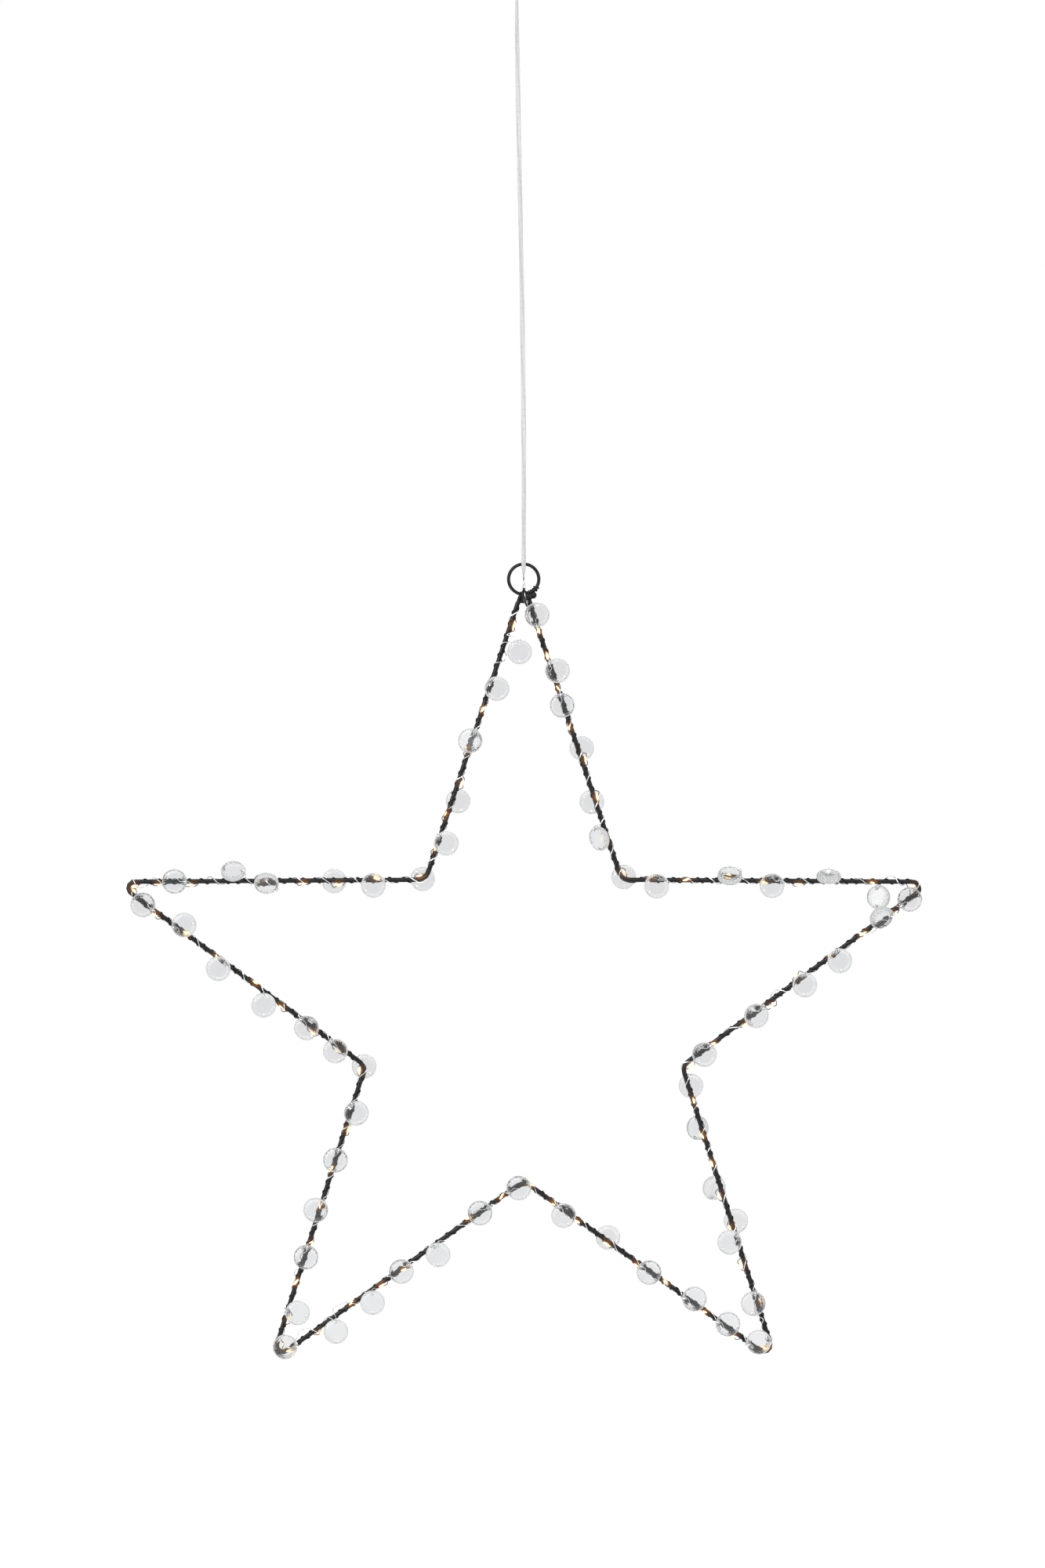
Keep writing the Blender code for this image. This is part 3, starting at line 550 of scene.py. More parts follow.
def clear_selection():
    if bpy.context.object and bpy.context.object.mode != "OBJECT":
        set_mode("OBJECT")
    bpy.ops.object.select_all(action="DESELECT")


def added(operator, **settings):
    """The object that an operator adds, with nothing else selected."""
    clear_selection()
    operator(**settings)
    return bpy.context.object


def pick(*things):
    clear_selection()
    for thing in things:
        thing.select_set(True)
    bpy.context.view_layer.objects.active = things[0]


def settle(thing):
    """Puts a piece's place, turn and size into its mesh."""
    pick(thing)
    bpy.ops.object.transform_apply(location=True, rotation=True, scale=True)


def paint(thing, *finish):
    thing.data.materials.clear()
    for made in finish:
        thing.data.materials.append(made)


def belong(piece, slot, *nodes, body="star"):
    """Parents a piece to the empty of the body that it moves with, and hides the CAD nodes that it
    stands in for. The slot argument is not used.
    """
    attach(piece, body)
    if nodes:
        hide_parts(*nodes)


def ease(share):
    share = min(1, max(0, share))
    return share * share * (3 - 2 * share)


def shares(steps):
    """The even steps from 0 to 1, with both ends."""
    return [step / steps for step in range(steps + 1)]


def smooth_line(points, step, closed):
    """Points at even steps on a smooth line through the given points."""
    count = len(points)
    found = []
    for span in range(count if closed else count - 1):
        a, b, c, d = (points[place % count if closed else min(count - 1, max(0, place))]
                      for place in range(span - 1, span + 3))
        pieces = max(1, round((c - b).length / step))
        for piece in range(pieces):
            t = piece / pieces
            found.append(0.5 * (2 * b + (c - a) * t + (2 * a - 5 * b + 4 * c - d) * t * t
                                + (3 * b - a - 3 * c + d) * t * t * t))
    if not closed:
        found.append(points[-1].copy())
    return found


def draw_line(name, points, radius, step=None, closed=False, sides=1, swells=None, tilts=None,
              section=None):
    """A wire along points, smoothed where a step is given, added as a curve and made a mesh."""
    if step:
        points = smooth_line(points, step, closed)
    curve = added(bpy.ops.object.add, type="CURVE", location=(0, 0, 0)).data
    curve.dimensions = "3D"
    curve.bevel_resolution = sides
    curve.bevel_depth = radius
    curve.use_fill_caps = not closed
    curve.twist_mode = "MINIMUM"
    if section:
        curve.bevel_mode = "OBJECT"
        curve.bevel_object = section
    spline = curve.splines.new("POLY")
    spline.points.add(len(points) - 1)
    for index, point in enumerate(points):
        spline.points[index].co = (*point, 1)
        spline.points[index].radius = swells[index] if swells else 1
        spline.points[index].tilt = tilts[index] if tilts else 0
    spline.use_cyclic_u = closed
    bpy.ops.object.convert(target="MESH")
    thing = bpy.context.object
    thing.name = name
    bpy.ops.object.shade_smooth_by_angle(angle=math.radians(WIRE_SMOOTH))
    return thing


def merge(name, things):
    """Several pieces made one object."""
    pick(*things)
    if len(things) > 1:
        bpy.ops.object.join()
    joined = bpy.context.object
    joined.name = name
    return joined


def select_faces(thing, wanted):
    """Leaves the piece in edit mode with only the wanted faces selected."""
    pick(thing)
    set_mode("EDIT")
    bpy.ops.mesh.select_mode(type="FACE")
    bpy.ops.mesh.select_all(action="DESELECT")
    set_mode("OBJECT")
    for face in thing.data.polygons:
        face.select = wanted(face)
    set_mode("EDIT")


def copy_of(thing, name, matrix):
    """A copy with its own mesh, put in place."""
    made = bpy.data.objects.new(name, thing.data.copy())
    bpy.context.scene.collection.objects.link(made)
    made.data.transform(matrix)
    return made


def discard(*things):
    pick(*things)
    bpy.ops.object.delete()


# The star's centre line

def corner(index):
    radius = sizes().waist_radius if index % 2 else sizes().tip_radius
    turn = math.tau * (index % EDGES) / EDGES
    return STAR_MIDDLE + Vector((radius * math.sin(turn), 0, radius * math.cos(turn)))


def edge_line(edge):
    """An edge's sharp start, its direction, the way to the star's inside, and its length."""
    start = corner(edge)
    along = corner(edge + 1) - start
    direction = along.normalized()
    return start, direction, Vector((direction.z, 0, -direction.x)), along.length


def corner_cut(index):
    """Length of edge that the bend at a corner takes."""
    bend = WAIST_BEND if index % 2 else TIP_BEND
    turn = edge_line((index - 1) % EDGES)[1].angle(edge_line(index % EDGES)[1])
    return bend * math.tan(turn / 2)


class Track:
    """The rod's closed centre line, measured along its length."""

    def __init__(self):
        self.points = []
        self.ways = []
        self.edge_starts = []
        for index in range(EDGES):
            before = edge_line((index - 1) % EDGES)
            after = edge_line(index)
            bend = WAIST_BEND if index % 2 else TIP_BEND
            side = -1 if index % 2 else 1
            turn = before[1].angle(after[1])
            first = corner(index) - before[1] * corner_cut(index)
            hub = first + before[2] * bend * side
            for step in range(ARC_STEPS + 1):
                spin = Matrix.Rotation(side * turn * step / ARC_STEPS, 3, BACK)
                self.points.append(hub + spin @ (first - hub))
                self.ways.append(spin @ before[1])
            self.edge_starts.append(len(self.points) - 1)
        self.reach = [0.0]
        for one, other in zip(self.points, self.points[1:] + self.points[:1]):
            self.reach.append(self.reach[-1] + (other - one).length)
        self.length = self.reach[-1]
        half = ARC_STEPS // 2
        self.bends = [self.reach[start - half] for start in self.edge_starts]

    def on_edge(self, edge, distance):
        """Length along the track of a point at a distance from the edge's sharp corner."""
        return self.reach[self.edge_starts[edge]] + distance - corner_cut(edge)

    def at(self, where):
        """The centre, the way on and the way inside at a length along the track."""
        where %= self.length
        index = min(bisect_right(self.reach, where) - 1, len(self.points) - 1)
        after = (index + 1) % len(self.points)
        span = self.reach[index + 1] - self.reach[index]
        share = (where - self.reach[index]) / span if span > 0 else 0
        point = self.points[index].lerp(self.points[after], share)
        way = self.ways[index].lerp(self.ways[after], share).normalized()
        return point, way, Vector((way.z, 0, -way.x))

    def around(self, where, phase, radius):
        """A point beside the rod, at a phase from the star's inside towards its back."""
        point, _, inside = self.at(where)
        return point + (inside * math.cos(phase) + BACK * math.sin(phase)) * radius



def jitter(count, spread):
    """An even, repeatable scatter between plus and minus spread."""
    value = math.sin(count * 12.9898 + 4.1) * 43758.5453
    return (value - math.floor(value) - 0.5) * 2 * spread


def lamp_stations(track):
    """Every lamp: its length along the track, phase and distance from the rod's line."""
    found = []
    for edge, lamps in enumerate(LAMPS):
        length = edge_line(edge)[3]
        for share, offset in lamps:
            offset *= 0.001
            radius = max(abs(offset), sizes().rod_diameter / 2 + sizes().lamp_diameter * LAMP_SEAT)
            phase = -math.acos(max(-1, min(1, offset / radius)))
            found.append((track.on_edge(edge, share * length), phase, radius))
    return sorted(found)


def mark_painted_glow(thing):
    """Marks how strongly the painted lamp light shows at each point of a piece, by its nearness to
    the lamps.
    """
    track = Track()
    spots = [track.around(*lamp) for lamp in lamp_stations(track)]
    mark = thing.data.attributes.new("lamp_glow", "FLOAT", "POINT")
    values = []
    for vertex in thing.data.vertices:
        near = min((vertex.co - spot).length_squared for spot in spots)
        values.append(math.exp(-near / PAINTED_GLOW_REACH ** 2))
    mark.data.foreach_set("value", values)


def disc_seats():
    """Each hinged disc: its number, threaded hole, way to its middle and way out of the rod."""
    seats = []
    for joint in frame["joints"]:
        number = joint["child"].split("_")[1]
        hole = Vector(joint["pos_m"])
        outward = Vector(joint["axis"]).normalized()
        low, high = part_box("glass_disc_" + number)
        to_middle = (low + high) / 2 - hole
        to_middle = (to_middle - outward * to_middle.dot(outward)).normalized()
        seats.append((number, hole, *leaned(number, hole, to_middle, outward)))
    return seats


def corner_seats():
    """Each corner disc: its threaded hole, way to its middle and way out of the rod."""
    seats = []
    for edge, share, shift, side in CORNER_DISCS:
        start, direction, inside, length = edge_line(edge)
        outward = BACK * side
        lift = shift * sizes().disc_diameter / HOLE_REACH
        ahead = -1 if share < 0.5 else 1
        to_middle = inside * lift + direction * ahead * math.sqrt(1 - lift * lift)
        foot = start + direction * share * length
        middle = foot + inside * lift * HOLE_REACH + outward * DISC_MID
        seats.append((middle - to_middle * HOLE_REACH, to_middle, outward))
    return seats


def seat_matrix(hole, to_middle, outward):
    turn = Matrix((to_middle, outward.cross(to_middle), outward)).transposed().to_4x4()
    return Matrix.Translation(hole) @ turn


def leaned(number, hole, to_middle, outward):
    """A disc's way to its middle and way out, turned by its own lean on the wire."""
    about_rod, about_middle = LEANS.get(number, (0, 0))
    direction = edge_line(edge_of(hole)[0])[1]
    turn = (Matrix.Rotation(math.radians(about_rod), 3, direction)
            @ Matrix.Rotation(math.radians(about_middle), 3, to_middle))
    return turn @ to_middle, turn @ outward


def edge_of(point):
    """The edge that a disc's hole lies nearest to, and how far along that edge."""
    found = []
    for edge in range(EDGES):
        start, direction, _, length = edge_line(edge)
        along = (point - start).dot(direction)
        inner = min(length, max(0, along))
        gap = (point - start - direction * inner - BACK * point.y).length
        found.append((gap, edge, along))
    return min(found)[1:]


# Operators

class STAR_OT_camera(Operator):
    """Sets the camera square to the star's front"""

    bl_idname = "star.camera"
    bl_label = "Camera"

    def execute(self, context):
        camera = added(bpy.ops.object.camera_add, rotation=(math.pi / 2, 0, 0),
                       location=(CAMERA_SIDE, -CAMERA_DISTANCE, CAMERA_HEIGHT))
        camera.name = "star_camera"
        camera.data.sensor_width = SENSOR
        camera.data.lens = SENSOR * CAMERA_DISTANCE / VIEW_HEIGHT
        context.scene.camera = camera
        return {"FINISHED"}


class STAR_OT_supply_lead(Operator):
    """Builds the flat clear lead with its two cores, up to its hanging loop"""

    bl_idname = "star.supply_lead"
    bl_label = "Supply lead"

    def execute(self, context):
        points = lead_points()
        width = sizes().lead_width
        length = sum((b - a).length for a, b in zip(points, points[1:]))
        fine = smooth_line(points, LEAD_STEP, closed=False)
        reach = 0.0
        tilts, swells = [], []
        for index, point in enumerate(fine):
            reach += (point - fine[max(0, index - 1)]).length
            tilts.append(lead_tilt(reach / length))
            swells.append(min(1.0, FOOT_WIDTH + reach / FOOT_TAPER))
        face = self.add_face(width)
        sheath = draw_line("clear_lead", fine, width / 2, swells=swells, tilts=tilts, section=face)
        discard(face)
        paint(sheath, coat(sheath_finish))
        fades = [CORE_THIN + CORE_BARE * (1 - ease((swell - 0.3) / 0.7)) for swell in swells]
        cores = [draw_line("lead_core", core_line(fine, tilts, side * width * CORE_SHARE, swells),
                           CORE_RADIUS, swells=fades) for side in (-1, 1)]
        core = merge("lead_cores", cores)
        paint(core, coat(core_finish))
        paint(frame["nodes"]["lead_loop_sleeve"], coat(silver_finish))
        belong(sheath, "clear_lead", "supply_lead")
        belong(core, "silver_wire")
        return {"FINISHED"}

    def add_face(self, width):
        """The lead's cut face: two round cores' walls side by side."""
        thing = added(bpy.ops.object.add, type="CURVE")
        thing.data.dimensions = "2D"
        spline = thing.data.splines.new("POLY")
        quarter = width * CORE_SHARE
        outline = []
        for side in (1, -1):
            for share in shares(FACE_STEPS):
                turn = math.pi * (share - 0.5) + (0 if side > 0 else math.pi)
                outline.append((side * quarter + quarter * math.cos(turn),
                                quarter * math.sin(turn)))
            outline.append((0, side * width * GROOVE_SHARE))
        spline.points.add(len(outline) - 1)
        for index, (across, up) in enumerate(outline):
            spline.points[index].co = (across, up, 0, 1)
        spline.use_cyclic_u = True
        return thing


def lead_points():
    """The lead's route: up from its foot, past the ring's front, round the loop and back down."""
    side = STAR_MIDDLE.x
    points = [Vector((side, depth, height)) for depth, height in LEAD_FOOT]
    low, high = LEAD_RUN
    for share in shares(LEAD_RUN_STEPS):
        points.append(Vector((side - (STRAND_SHIFT + side) * ease(share)
                              + math.sin(math.pi * share) * LEAD_BOW,
                              RING_FRONT * (1 - ease(share / LEAD_SETTLE)),
                              low + (high - low) * share)))
    points.append(Vector((-STRAND_SHIFT, 0, LOOP_NECK)))
    for share in shares(LOOP_STEPS)[1:-1]:
        turn = math.pi * share
        flare = math.sin(turn)
        reach = STRAND_SHIFT + (LOOP_REACH - STRAND_SHIFT) * ease(flare)
        points.append(Vector((-reach * math.cos(turn), 0,
                              LOOP_NECK + (LOOP_TOP - LOOP_NECK) * flare)))
    points.append(Vector((STRAND_SHIFT, 0, LOOP_NECK)))
    points.append(Vector((STRAND_SHIFT, 0, LEAD_END)))
    return points


def lead_tilt(share):
    """How far the flat lead has twisted at a share of its length."""
    sway = TWIST_SWAY * math.sin(share * math.pi * TWIST_SWAYS)
    return TWIST_FOOT + sway + TWIST_LOOP * ease(share * 3 - 2)


def core_line(points, tilts, offset, swells):
    """A core's line beside the lead's middle, twisted with it."""
    found = []
    for index, (point, tilt) in enumerate(zip(points, tilts)):
        ahead = points[min(len(points) - 1, index + 1)] - points[max(0, index - 1)]
        way = ahead.normalized()
        across = way.cross(BACK).normalized()
        found.append(point + (Matrix.Rotation(tilt, 3, way) @ across) * offset * swells[index])
    return found


class STAR_OT_splice(Operator):
    """Builds the twisted silver loop that joins lead and string inside the ring"""

    bl_idname = "star.splice"
    bl_label = "Lead splice"

    def execute(self, context):
        low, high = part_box("lead_splice")
        middle = (low + high) / 2
        tall = high.z - low.z

        def beside(reach, turn, height):
            return Vector((middle.x + reach * math.cos(turn), middle.y + reach * math.sin(turn),
                           low.z + tall * height))

        strands = []
        for side in (0, math.pi):
            points = [beside(EYE_WIDTH * math.sin(math.pi * share) ** 0.6 + EYE_NECK,
                             side + EYE_START + share * EYE_SPIN, share)
                      for share in shares(EYE_STEPS)]
            strands.append(draw_line("splice_strand", points, EYE_STRAND, EYE_STEP, sides=2))
        twist = [beside(TWIST_REACH, step * TWIST_TURN, 0.15 + 0.7 * step / TWIST_STEPS)
                 for step in range(TWIST_STEPS + 1)]
        strands.append(draw_line("splice_twist", twist, TWIST_RADIUS, EYE_STEP, sides=2))
        for across, deep in LOOSE_ENDS:
            loose = [Vector((middle.x + across * 0.5, middle.y - 0.0006, low.z + 0.0008))]
            loose += [Vector((middle.x + side + across, deep * share, low.z + height))
                      for share, side, height in END_COURSE]
            strands.append(draw_line("splice_end", loose, END_RADIUS, STRAND_STEP))
        splice = merge("silver_splice", strands)
        paint(splice, coat(silver_finish))
        belong(splice, "silver_wire", "lead_splice")
        return {"FINISHED"}


class STAR_OT_rod(Operator):
    """Builds the star's bent rod"""

    bl_idname = "star.rod"
    bl_label = "Bent rod"

    def execute(self, context):
        track = Track()
        count = round(track.length / ROD_STEP)
        line = [track.at(track.length * step / count)[0] for step in range(count)]
        rod = draw_line("bent_rod", line, sizes().rod_diameter / 2, closed=True, sides=6)
        mark_painted_glow(rod)
        paint(rod, coat(rod_finish))
        belong(rod, "black_coated_rod", "star_frame")
        return {"FINISHED"}


class STAR_OT_hanging_ring(Operator):
    """Builds the ring that stands on the star's top"""

    bl_idname = "star.hanging_ring"
    bl_label = "Hanging ring"

    def execute(self, context):
        low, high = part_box("hanging_ring")
        wire = sizes().ring_wire
        ring = added(
            bpy.ops.mesh.primitive_torus_add, location=(low + high) / 2,
            rotation=(math.pi / 2, 0, 0), major_segments=96, minor_segments=20,
            major_radius=(sizes().ring_diameter - wire) / 2, minor_radius=wire / 2)
        ring.name = "steel_hanging_ring"
        settle(ring)
        bpy.ops.object.shade_smooth()
        paint(ring, coat(rod_finish))
        belong(ring, "black_coated_rod", "hanging_ring")
        return {"FINISHED"}


class STAR_OT_binding(Operator):
    """Builds the turns of string that tie the ring to the star, with their knot and ends"""

    bl_idname = "star.binding"
    bl_label = "Top binding"

    def execute(self, context):
        low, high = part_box("hanging_ring")
        middle = (low + high) / 2
        wire = sizes().ring_wire
        reach = (sizes().ring_diameter - wire) / 2
        bottom = middle - Vector((0, 0, reach))
        strands = [self.tie(bottom + Vector(place), turns, spread, start)
                   for place, turns, spread, start in TIES]
        tail = [bottom + Vector(place) for place in STRING_END]
        strands.append(draw_line("string_end", tail, TIE_RADIUS * 1.5, STRAND_STEP, sides=2))
        coil = []
        for share in shares(COIL_STEPS):
            turn = math.radians(COIL_START + COIL_SPAN * share)
            spoke = Vector((math.sin(turn), 0, math.cos(turn)))
            phase = math.tau * COIL_TURNS * share
            out = wire / 2 + TIE_RADIUS * (0.35 + 0.3 * math.sin(share * 9))
            off = (spoke * math.cos(phase) + BACK * math.sin(phase)) * out
            coil.append(middle + spoke * reach + off)
        strands.append(draw_line("ring_coil", coil, TIE_RADIUS * 1.2, STRAND_STEP, sides=2))
        strands.append(self.knot(bottom + Vector(KNOT_PLACE)))
        binding = merge("string_binding", strands)
        mark_painted_glow(binding)
        paint(binding, coat(string_finish))
        belong(binding, "black_string", "apex_binding")
        return {"FINISHED"}

    def tie(self, bottom, turns, spread, start):
        """String laid over the ring's wire and under the bend of the rod, turn by turn."""
        points = []
        for step in range(turns * TIE_STEPS + 1):
            turn = math.tau * step / TIE_STEPS
            count = step / TIE_STEPS
            lean = spread * math.sin(count * 2.4 + start)
            depth = math.cos(turn) * (TIE_DEPTH + TIE_UNEVEN * math.sin(count * 3 + start))
            height = TIE_DROP + math.sin(turn) * (TIE_RISE - 0.3 * abs(lean))
            points.append(bottom + Vector((lean + TIE_SIDE * math.sin(turn), depth, height)))
        return draw_line("tie", points, TIE_RADIUS, TIE_STEP, sides=2)

    def knot(self, middle):
        """A round knot of string."""
        points = []
        for step in range(KNOT_STEPS + 1):
            turn = math.tau * step / KNOT_ROUND
            rise = math.cos(math.pi * step / KNOT_STEPS)
            wide = math.sqrt(max(0.05, 1 - rise * rise)) * KNOT_SIZE * KNOT_WIDE
            spot = Vector((wide * math.cos(turn), wide * math.sin(turn),
                           rise * KNOT_SIZE * KNOT_TALL))
            points.append(middle + Matrix.Rotation(KNOT_LEAN, 3, BACK) @ spot)
        return draw_line("knot", points, TIE_RADIUS * 1.15, STRAND_STEP, sides=2)


class STAR_OT_lamp_string(Operator):
    """Winds the black lamp string round the rod"""

    bl_idname = "star.lamp_string"
    bl_label = "Lamp string"

    def execute(self, context):
        track = Track()
        size = sizes()
        radius = size.rod_diameter / 2 + size.string_diameter * STRING_SEAT
        steps = round(track.length / size.string_pitch * STRING_STEPS)
        wound = [0.0]
        for step in range(steps):
            wound.append(wound[-1] + self.wrap(track, track.length * step / steps))
        turns = round(wound[-1] / steps * track.length / size.string_pitch)
        strands = []
        for shift in (-TWIN_SHIFT, TWIN_SHIFT):
            line = []
            for step in range(steps):
                share = step / steps
                sway = sum(most * math.sin(share * math.tau * waves)
                           for most, waves in STRING_SWAYS)
                lift = STRING_LIFT * (1 + math.sin(share * math.tau * LIFT_WAVES + shift * 3))
                phase = math.pi / 2 + math.tau * turns * wound[step] / wound[-1] + sway
                where = share * track.length + shift * size.string_diameter
                line.append(track.around(where, phase, radius + lift))
            strands.append(draw_line("lamp_string_wire", line, size.string_diameter / 2,
                                     closed=True))
        for count, (where, phase, out) in enumerate(lamp_stations(track)):
            loose = HOOK_SLACK + max(0, jitter(count + 90, HOOK_SPREAD))
            outs = (radius, out + loose, out + 0.0002, out + loose * 0.3, radius)
            hook = [track.around(where + along, phase + turn, off)
                    for (along, turn), off in zip(HOOK, outs)]
            strands.append(draw_line("lamp_hook", hook, size.string_diameter * 0.45, HOOK_STEP))
        string = merge("lamp_string_wire", strands)
        mark_painted_glow(string)
        paint(string, coat(string_finish))
        belong(string, "black_string", "lamp_string")
        return {"FINISHED"}

    def wrap(self, track, where):
        """How fast the string winds at a place: hardly at all round the rod's bends."""
        nearest = min(abs((where - bend + track.length / 2) % track.length - track.length / 2)
                      for bend in track.bends)
        return ease((nearest - BEND_CLEAR) / BEND_EASE)


class STAR_OT_lamps(Operator):
    """Makes one clear lamp drop and copies it along the string"""

    bl_idname = "star.lamps"
    bl_label = "Lamps"

    def execute(self, context):
        size = sizes()
        drop = self.drop(size.lamp_diameter, size.lamp_length)
        chip = self.chip(size.lamp_diameter)
        track = Track()
        starts = [track.on_edge(edge, 0) for edge in range(EDGES)]
        made = [[] for _ in starts]
        for count, (where, phase, out) in enumerate(lamp_stations(track)):
            point, way, inside = track.at(where)
            outward = inside * math.cos(phase) + BACK * math.sin(phase)
            along = Matrix.Rotation(jitter(count, LAMP_LEAN), 3, outward) @ way
            turn = Matrix((outward, along.cross(outward), along)).transposed().to_4x4()
            grown = 1 + jitter(count + 40, LAMP_SPREAD)
            spot = Matrix.Translation(point + outward * out) @ turn @ Matrix.Scale(grown, 4)
            edge = max(0, sum(where > start for start in starts) - 1)
            for piece in (drop, chip):
                made[edge].append(copy_of(piece, "lamp_%02d" % (count + 1), spot))
        discard(drop, chip)
        for edge, lamps in enumerate(made):
            belong(merge("lamps_on_edge_%02d" % (edge + 1), lamps), "clear_glass", "lamp_string")
        return {"FINISHED"}

    def drop(self, width, length):
        """A drop that narrows to the string at both ends, one end blunter."""
        drop = added(bpy.ops.mesh.primitive_uv_sphere_add, segments=12, ring_count=9,
                     radius=width / 2)
        set_mode("EDIT")
        bpy.ops.transform.resize(value=(1, 1, length / width))
        set_mode("OBJECT")
        for vertex in drop.data.vertices:
            vertex.select = vertex.co.z > POINT_START
        set_mode("EDIT")
        bpy.ops.transform.resize(value=POINT_SHAPE, center_override=(0, 0, 0))
        set_mode("OBJECT")
        bpy.ops.object.shade_smooth()
        paint(drop, coat(lamp_finish))
        return drop

    def chip(self, width):
        """The small lit block inside the drop."""
        chip = added(bpy.ops.mesh.primitive_cube_add, size=width * CHIP_SIZE)
        set_mode("EDIT")
        bpy.ops.transform.resize(value=(1, 1, CHIP_LENGTH))
        bpy.ops.mesh.bevel(offset=width * CHIP_EDGE, segments=1)
        set_mode("OBJECT")
        paint(chip, coat(chip_finish))
        return chip


class STAR_OT_bead_wire(Operator):
    """Winds the silver wire round the rod and through every disc"""

    bl_idname = "star.bead_wire"
    bl_label = "Bead wire"

    def execute(self, context):
        track = Track()
        size = sizes()
        close = size.rod_diameter / 2 + size.string_diameter * WIRE_SEAT + size.wire_diameter / 2
        self.slacks = [(track.on_edge(edge, share * edge_line(edge)[3]), *swing)
                       for edge, share, *swing in SLACKS]
        stops = []
        for hole, to_middle, outward in [seat[1:] for seat in disc_seats()] + corner_seats():
            edge, along = edge_of(hole)
            _, direction, inside, _ = edge_line(edge)
            phase = math.atan2(outward.dot(BACK), outward.dot(inside))
            stops.append((track.on_edge(edge, along), phase,
                          self.eye(direction, hole, to_middle, outward)))
        stops.sort(key=lambda stop: stop[0])
        line = []
        for index, (where, phase, eye) in enumerate(stops):
            ahead = stops[(index + 1) % len(stops)]
            line += eye
            begin = where + DISC_ROOM
            end = ahead[0] - DISC_ROOM + (track.length if index + 1 == len(stops) else 0)
            if end > begin:
                line += self.turns(track, begin, end, phase, ahead[1], close, index)
        wire = draw_line("silver_bead_wire", line, size.wire_diameter / 2, HOOK_STEP, closed=True)
        paint(wire, coat(silver_finish))
        belong(wire, "silver_wire", "bead_wire")
        return {"FINISHED"}

    def eye(self, direction, hole, to_middle, outward):
        """The wire up through a disc's hole and back outside its rim."""
        half = sizes().disc_thickness / 2
        points = [hole + outward * (half * share + beyond) - to_middle * aside
                  for share, beyond, aside in EYE_COURSE]
        return points[::-1] if to_middle.dot(direction) > 0 else points

    def turns(self, track, begin, end, phase, after, close, seed):
        """The turns round the rod from one disc to the next."""
        rest = (after - phase) % math.tau
        whole = max(0, round((end - begin) / sizes().wire_pitch - rest / math.tau))
        change = rest + math.tau * whole
        most, ends = WIRE_DRIFT
        found = []
        for share in shares(max(2, round(change / math.tau * WIRE_STEPS))):
            slack = max(0, math.sin(share * math.pi * (whole + 1) + seed)) ** 6
            loose = jitter(seed * 7 + int(share * (whole + 1)), WIRE_LIFT)
            lift = slack * max(0, loose - WIRE_HUG)
            drift = most * math.sin(share * math.tau + seed) * (end - begin) / (whole + 1) * ends
            where = begin + (end - begin) * share + drift * min(share, 1 - share)
            turned, out = self.loosen(where, phase + change * share, close + lift)
            found.append(track.around(where, turned, out))
        return found

    def loosen(self, where, phase, radius):
        """Lets the wire swing out to one side where it is slack."""
        for middle, reach, height, side in self.slacks:
            off = abs(where - middle) / reach
            if off < 1:
                weight = math.cos(math.pi / 2 * off) ** 2
                target = side + math.tau * round((phase - side) / math.tau)
                phase += (target - phase) * weight
                radius += height * weight
        return phase, radius


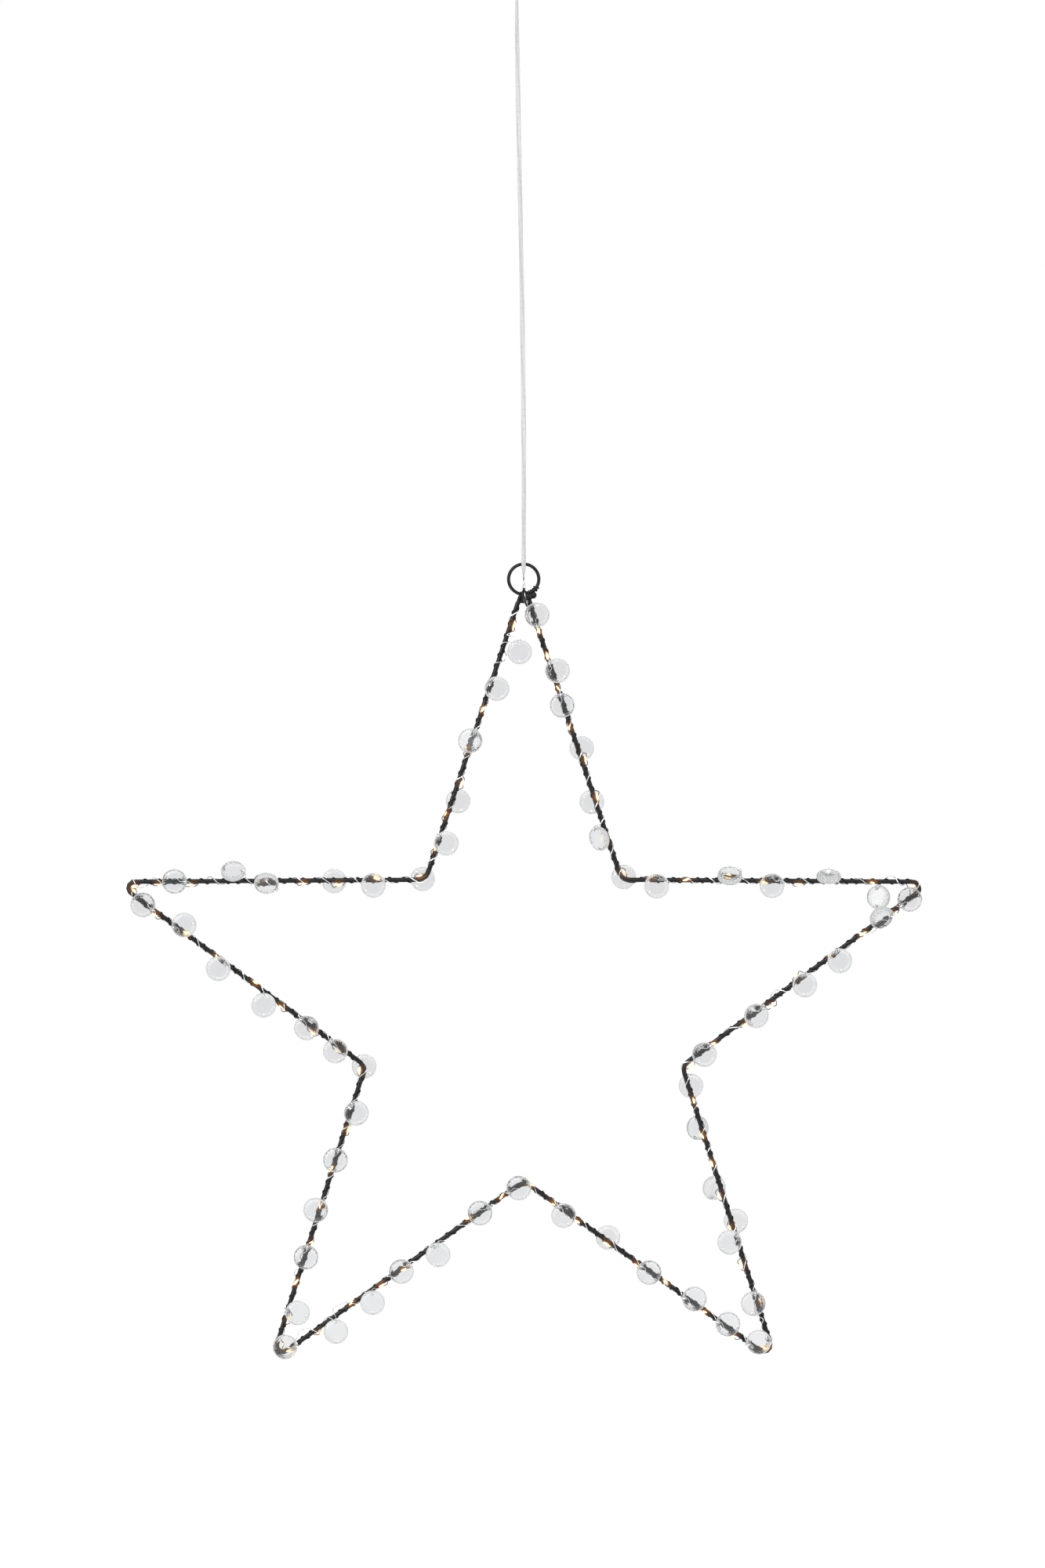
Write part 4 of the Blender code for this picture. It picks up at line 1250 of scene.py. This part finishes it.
class STAR_OT_glass_discs(Operator):
    """Cuts one glass disc and copies it to every disc's place"""

    bl_idname = "star.glass_discs"
    bl_label = "Glass discs"

    def execute(self, context):
        disc = self.disc(sizes().hole_diameter)
        roomy = self.disc(sizes().hole_diameter * ROOMY_HOLE)
        for number, *seat in disc_seats():
            steep = max(abs(lean) for lean in LEANS.get(number, (0, 0))) > STEEP_LEAN
            made = copy_of(roomy if steep else disc, "cut_disc_" + number, seat_matrix(*seat))
            mark = made.data.attributes.new("glass_cast", "FLOAT", "POINT")
            cast = 0.25 * (1 + jitter(int(number), 1)) + (0.5 if number in GREEN_DISCS else 0)
            mark.data.foreach_set("value", [cast] * len(made.data.vertices))
            belong(made, "clear_glass", "glass_disc_" + number, body="disc_" + number)
        for count, seat in enumerate(corner_seats()):
            made = copy_of(disc, "corner_disc_%02d" % (count + 1), seat_matrix(*seat))
            belong(made, "clear_glass", "bead_wire")
        discard(disc, roomy)
        return {"FINISHED"}

    def disc(self, hole):
        """A round disc with a flat face each side, cut facets by its rim and two holes."""
        size = sizes()
        sides = size.disc_sides
        half = size.disc_thickness / 2
        disc = added(bpy.ops.mesh.primitive_cylinder_add, vertices=sides,
                     radius=size.disc_diameter / 2, depth=half * GIRDLE * 2)
        for side in (1, -1):
            for rise, narrow in CUTS:
                top = max(vertex.co.z * side for vertex in disc.data.vertices)
                select_faces(disc, lambda face: face.center.z * side > top - FLAT)
                bpy.ops.mesh.extrude_region_move(
                    TRANSFORM_OT_translate={"value": (0, 0, side * half * rise)})
                bpy.ops.transform.resize(value=(narrow, narrow, 1), center_override=(0, 0, 0))
                bpy.ops.transform.rotate(value=math.pi / sides, orient_axis="Z",
                                         center_override=(0, 0, 0))
                set_mode("OBJECT")
        select_faces(disc, lambda face: True)
        bpy.ops.mesh.quads_convert_to_tris(quad_method="BEAUTY")
        bpy.ops.mesh.select_all(action="DESELECT")
        set_mode("OBJECT")
        disc.location.x = HOLE_REACH
        settle(disc)
        self.drill(disc, hole)
        select_faces(disc, lambda face: True)
        bpy.ops.mesh.normals_make_consistent(inside=False)
        set_mode("OBJECT")
        bpy.ops.object.shade_smooth_by_angle(angle=math.radians(DISC_SMOOTH))
        paint(disc, coat(glass_finish), coat(rim_finish))
        self.grind_rim(disc)
        return disc

    def drill(self, disc, hole):
        """Cuts the disc's two holes."""
        drill = merge("drill", [
            added(bpy.ops.mesh.primitive_cylinder_add, vertices=12, radius=hole / 2,
                  depth=sizes().disc_thickness * 2, location=(reach, 0, 0))
            for reach in (0, 2 * HOLE_REACH)])
        pick(disc)
        cut = disc.modifiers.new("holes", "BOOLEAN")
        cut.operation = "DIFFERENCE"
        cut.solver = "EXACT"
        cut.object = drill
        bpy.ops.object.modifier_apply(modifier="holes")
        discard(drill)

    def grind_rim(self, disc):
        """Gives the steep faces at the edge the ground finish, and marks the cut ones within."""
        rim = sizes().disc_diameter / 2
        mark = disc.data.attributes.new("cut_facets", "FLOAT", "POINT")
        mark.data.foreach_set("value", [
            float(math.hypot(vertex.co.x - HOLE_REACH, vertex.co.y) > rim * FACE_SHARE)
            for vertex in disc.data.vertices])
        for face in disc.data.polygons:
            across, along = face.center.x - HOLE_REACH, face.center.y
            patch = math.sin(math.atan2(along, across) * PATCH_WAVES + face.center.z * PATCH_RISE)
            limit = GROUND_STEEP if patch < PATCH_SHARE else GROUND_FEW
            out = math.hypot(across, along)
            face.material_index = int(out > rim * RIM_SHARE and abs(face.normal.z) < limit)


class STAR_OT_stage(Operator):
    """Sets the pale floor, soft lights and plain surroundings"""

    bl_idname = "star.stage"
    bl_label = "Stage"

    def execute(self, context):
        floor = added(bpy.ops.mesh.primitive_plane_add, size=FLOOR_SIZE,
                      location=(0, 0, FLOOR_HEIGHT))
        floor.name = "studio_floor"
        paint(floor, coat(floor_finish))
        for place, turn, size, power in STUDIO_LAMPS:
            lamp = added(bpy.ops.object.light_add, type="AREA", location=place,
                         rotation=[math.radians(angle) for angle in turn])
            lamp.data.size = size
            lamp.data.energy = power
            lamp.visible_transmission = False
        context.scene.world = bpy.data.worlds.new("plain_surroundings")
        self.set_surroundings(Finish(context.scene.world))
        context.scene.view_settings.view_transform = "Standard"
        return {"FINISHED"}

    def set_surroundings(self, look):
        """Plain pale light all round, with a bright strip that only glossy pieces show."""
        seen, glossy, through = look.rays()
        where = look.node("ShaderNodeTexCoord", output=0)
        across, ahead, up = look.parts("ShaderNodeSeparateXYZ", "XYZ", where)
        depth = ahead.sum("ABSOLUTE", ahead)
        facing = look.node("ShaderNodeMapRange", None, depth, 0.0, 0.5, GLASS_LEVEL, 1.0)
        level = seen.sum("MAXIMUM", seen, through * facing)
        rise, aside = STRIP_TILT
        strip = ((ahead < STRIP_NEAR) * (ahead > STRIP_FAR)
                 * (up * rise - across * aside > STRIP_EDGE))
        level = level.sum("MAXIMUM", level, glossy * (GLOSS_LEVEL + strip * STRIP_LEVEL))
        level = level.sum("MAXIMUM", level, AMBIENT)
        back = look.node("ShaderNodeBackground", None, (1.0, 1.0, 1.0), level)
        look.node("ShaderNodeOutputWorld", None, back)


def floor_finish():
    """A pale floor that takes shadows, and glows where camera, gloss and glass see it."""
    look = finish_of("pale_floor")
    tone = look.mix(look.noise(6.0, 2.0), shaded(finishes().floor, 0.97), finishes().floor)
    plain = look.node("ShaderNodeBsdfPrincipled", Base_Color=tone, Roughness=0.9)
    bright = look.node("ShaderNodeEmission", None, (1.0, 1.0, 1.0), FLOOR_GLOW)
    lit = look.node("ShaderNodeMixShader", None, FLOOR_LIT, plain, bright)
    seen, glossy, through = look.rays()
    clear = (seen + glossy + through) > 0.5
    return look.surface(look.node("ShaderNodeMixShader", None, clear, plain, lit))


OPERATORS = (
    STAR_OT_camera, STAR_OT_supply_lead, STAR_OT_splice, STAR_OT_rod, STAR_OT_hanging_ring,
    STAR_OT_binding, STAR_OT_lamp_string, STAR_OT_lamps, STAR_OT_bead_wire, STAR_OT_glass_discs,
    STAR_OT_stage,
)


class STAR_PT_pieces(Panel):
    """Lists the star's pieces, sizes and finishes"""

    bl_label = "Wired star"
    bl_idname = "STAR_PT_pieces"
    bl_space_type = "VIEW_3D"
    bl_region_type = "UI"
    bl_category = "Star"

    def draw(self, context):
        layout = self.layout
        for group in (context.scene.star_sizes, context.scene.star_finishes):
            box = layout.box()
            for key in group.__annotations__:
                box.prop(group, key)
        for made in OPERATORS:
            layout.operator(made.bl_idname)


CLASSES = (StarSizes, StarFinishes, *OPERATORS, STAR_PT_pieces)


def register():
    for made in CLASSES:
        bpy.utils.register_class(made)
    bpy.types.Scene.star_sizes = PointerProperty(type=StarSizes)
    bpy.types.Scene.star_finishes = PointerProperty(type=StarFinishes)


def unregister():
    del bpy.types.Scene.star_finishes
    del bpy.types.Scene.star_sizes
    for made in reversed(CLASSES):
        bpy.utils.unregister_class(made)


def main():
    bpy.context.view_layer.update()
    register()
    for made in OPERATORS:
        group, call = made.bl_idname.split(".")
        getattr(getattr(bpy.ops, group), call)()
    clear_selection()


if __name__ == "__main__":
    main()
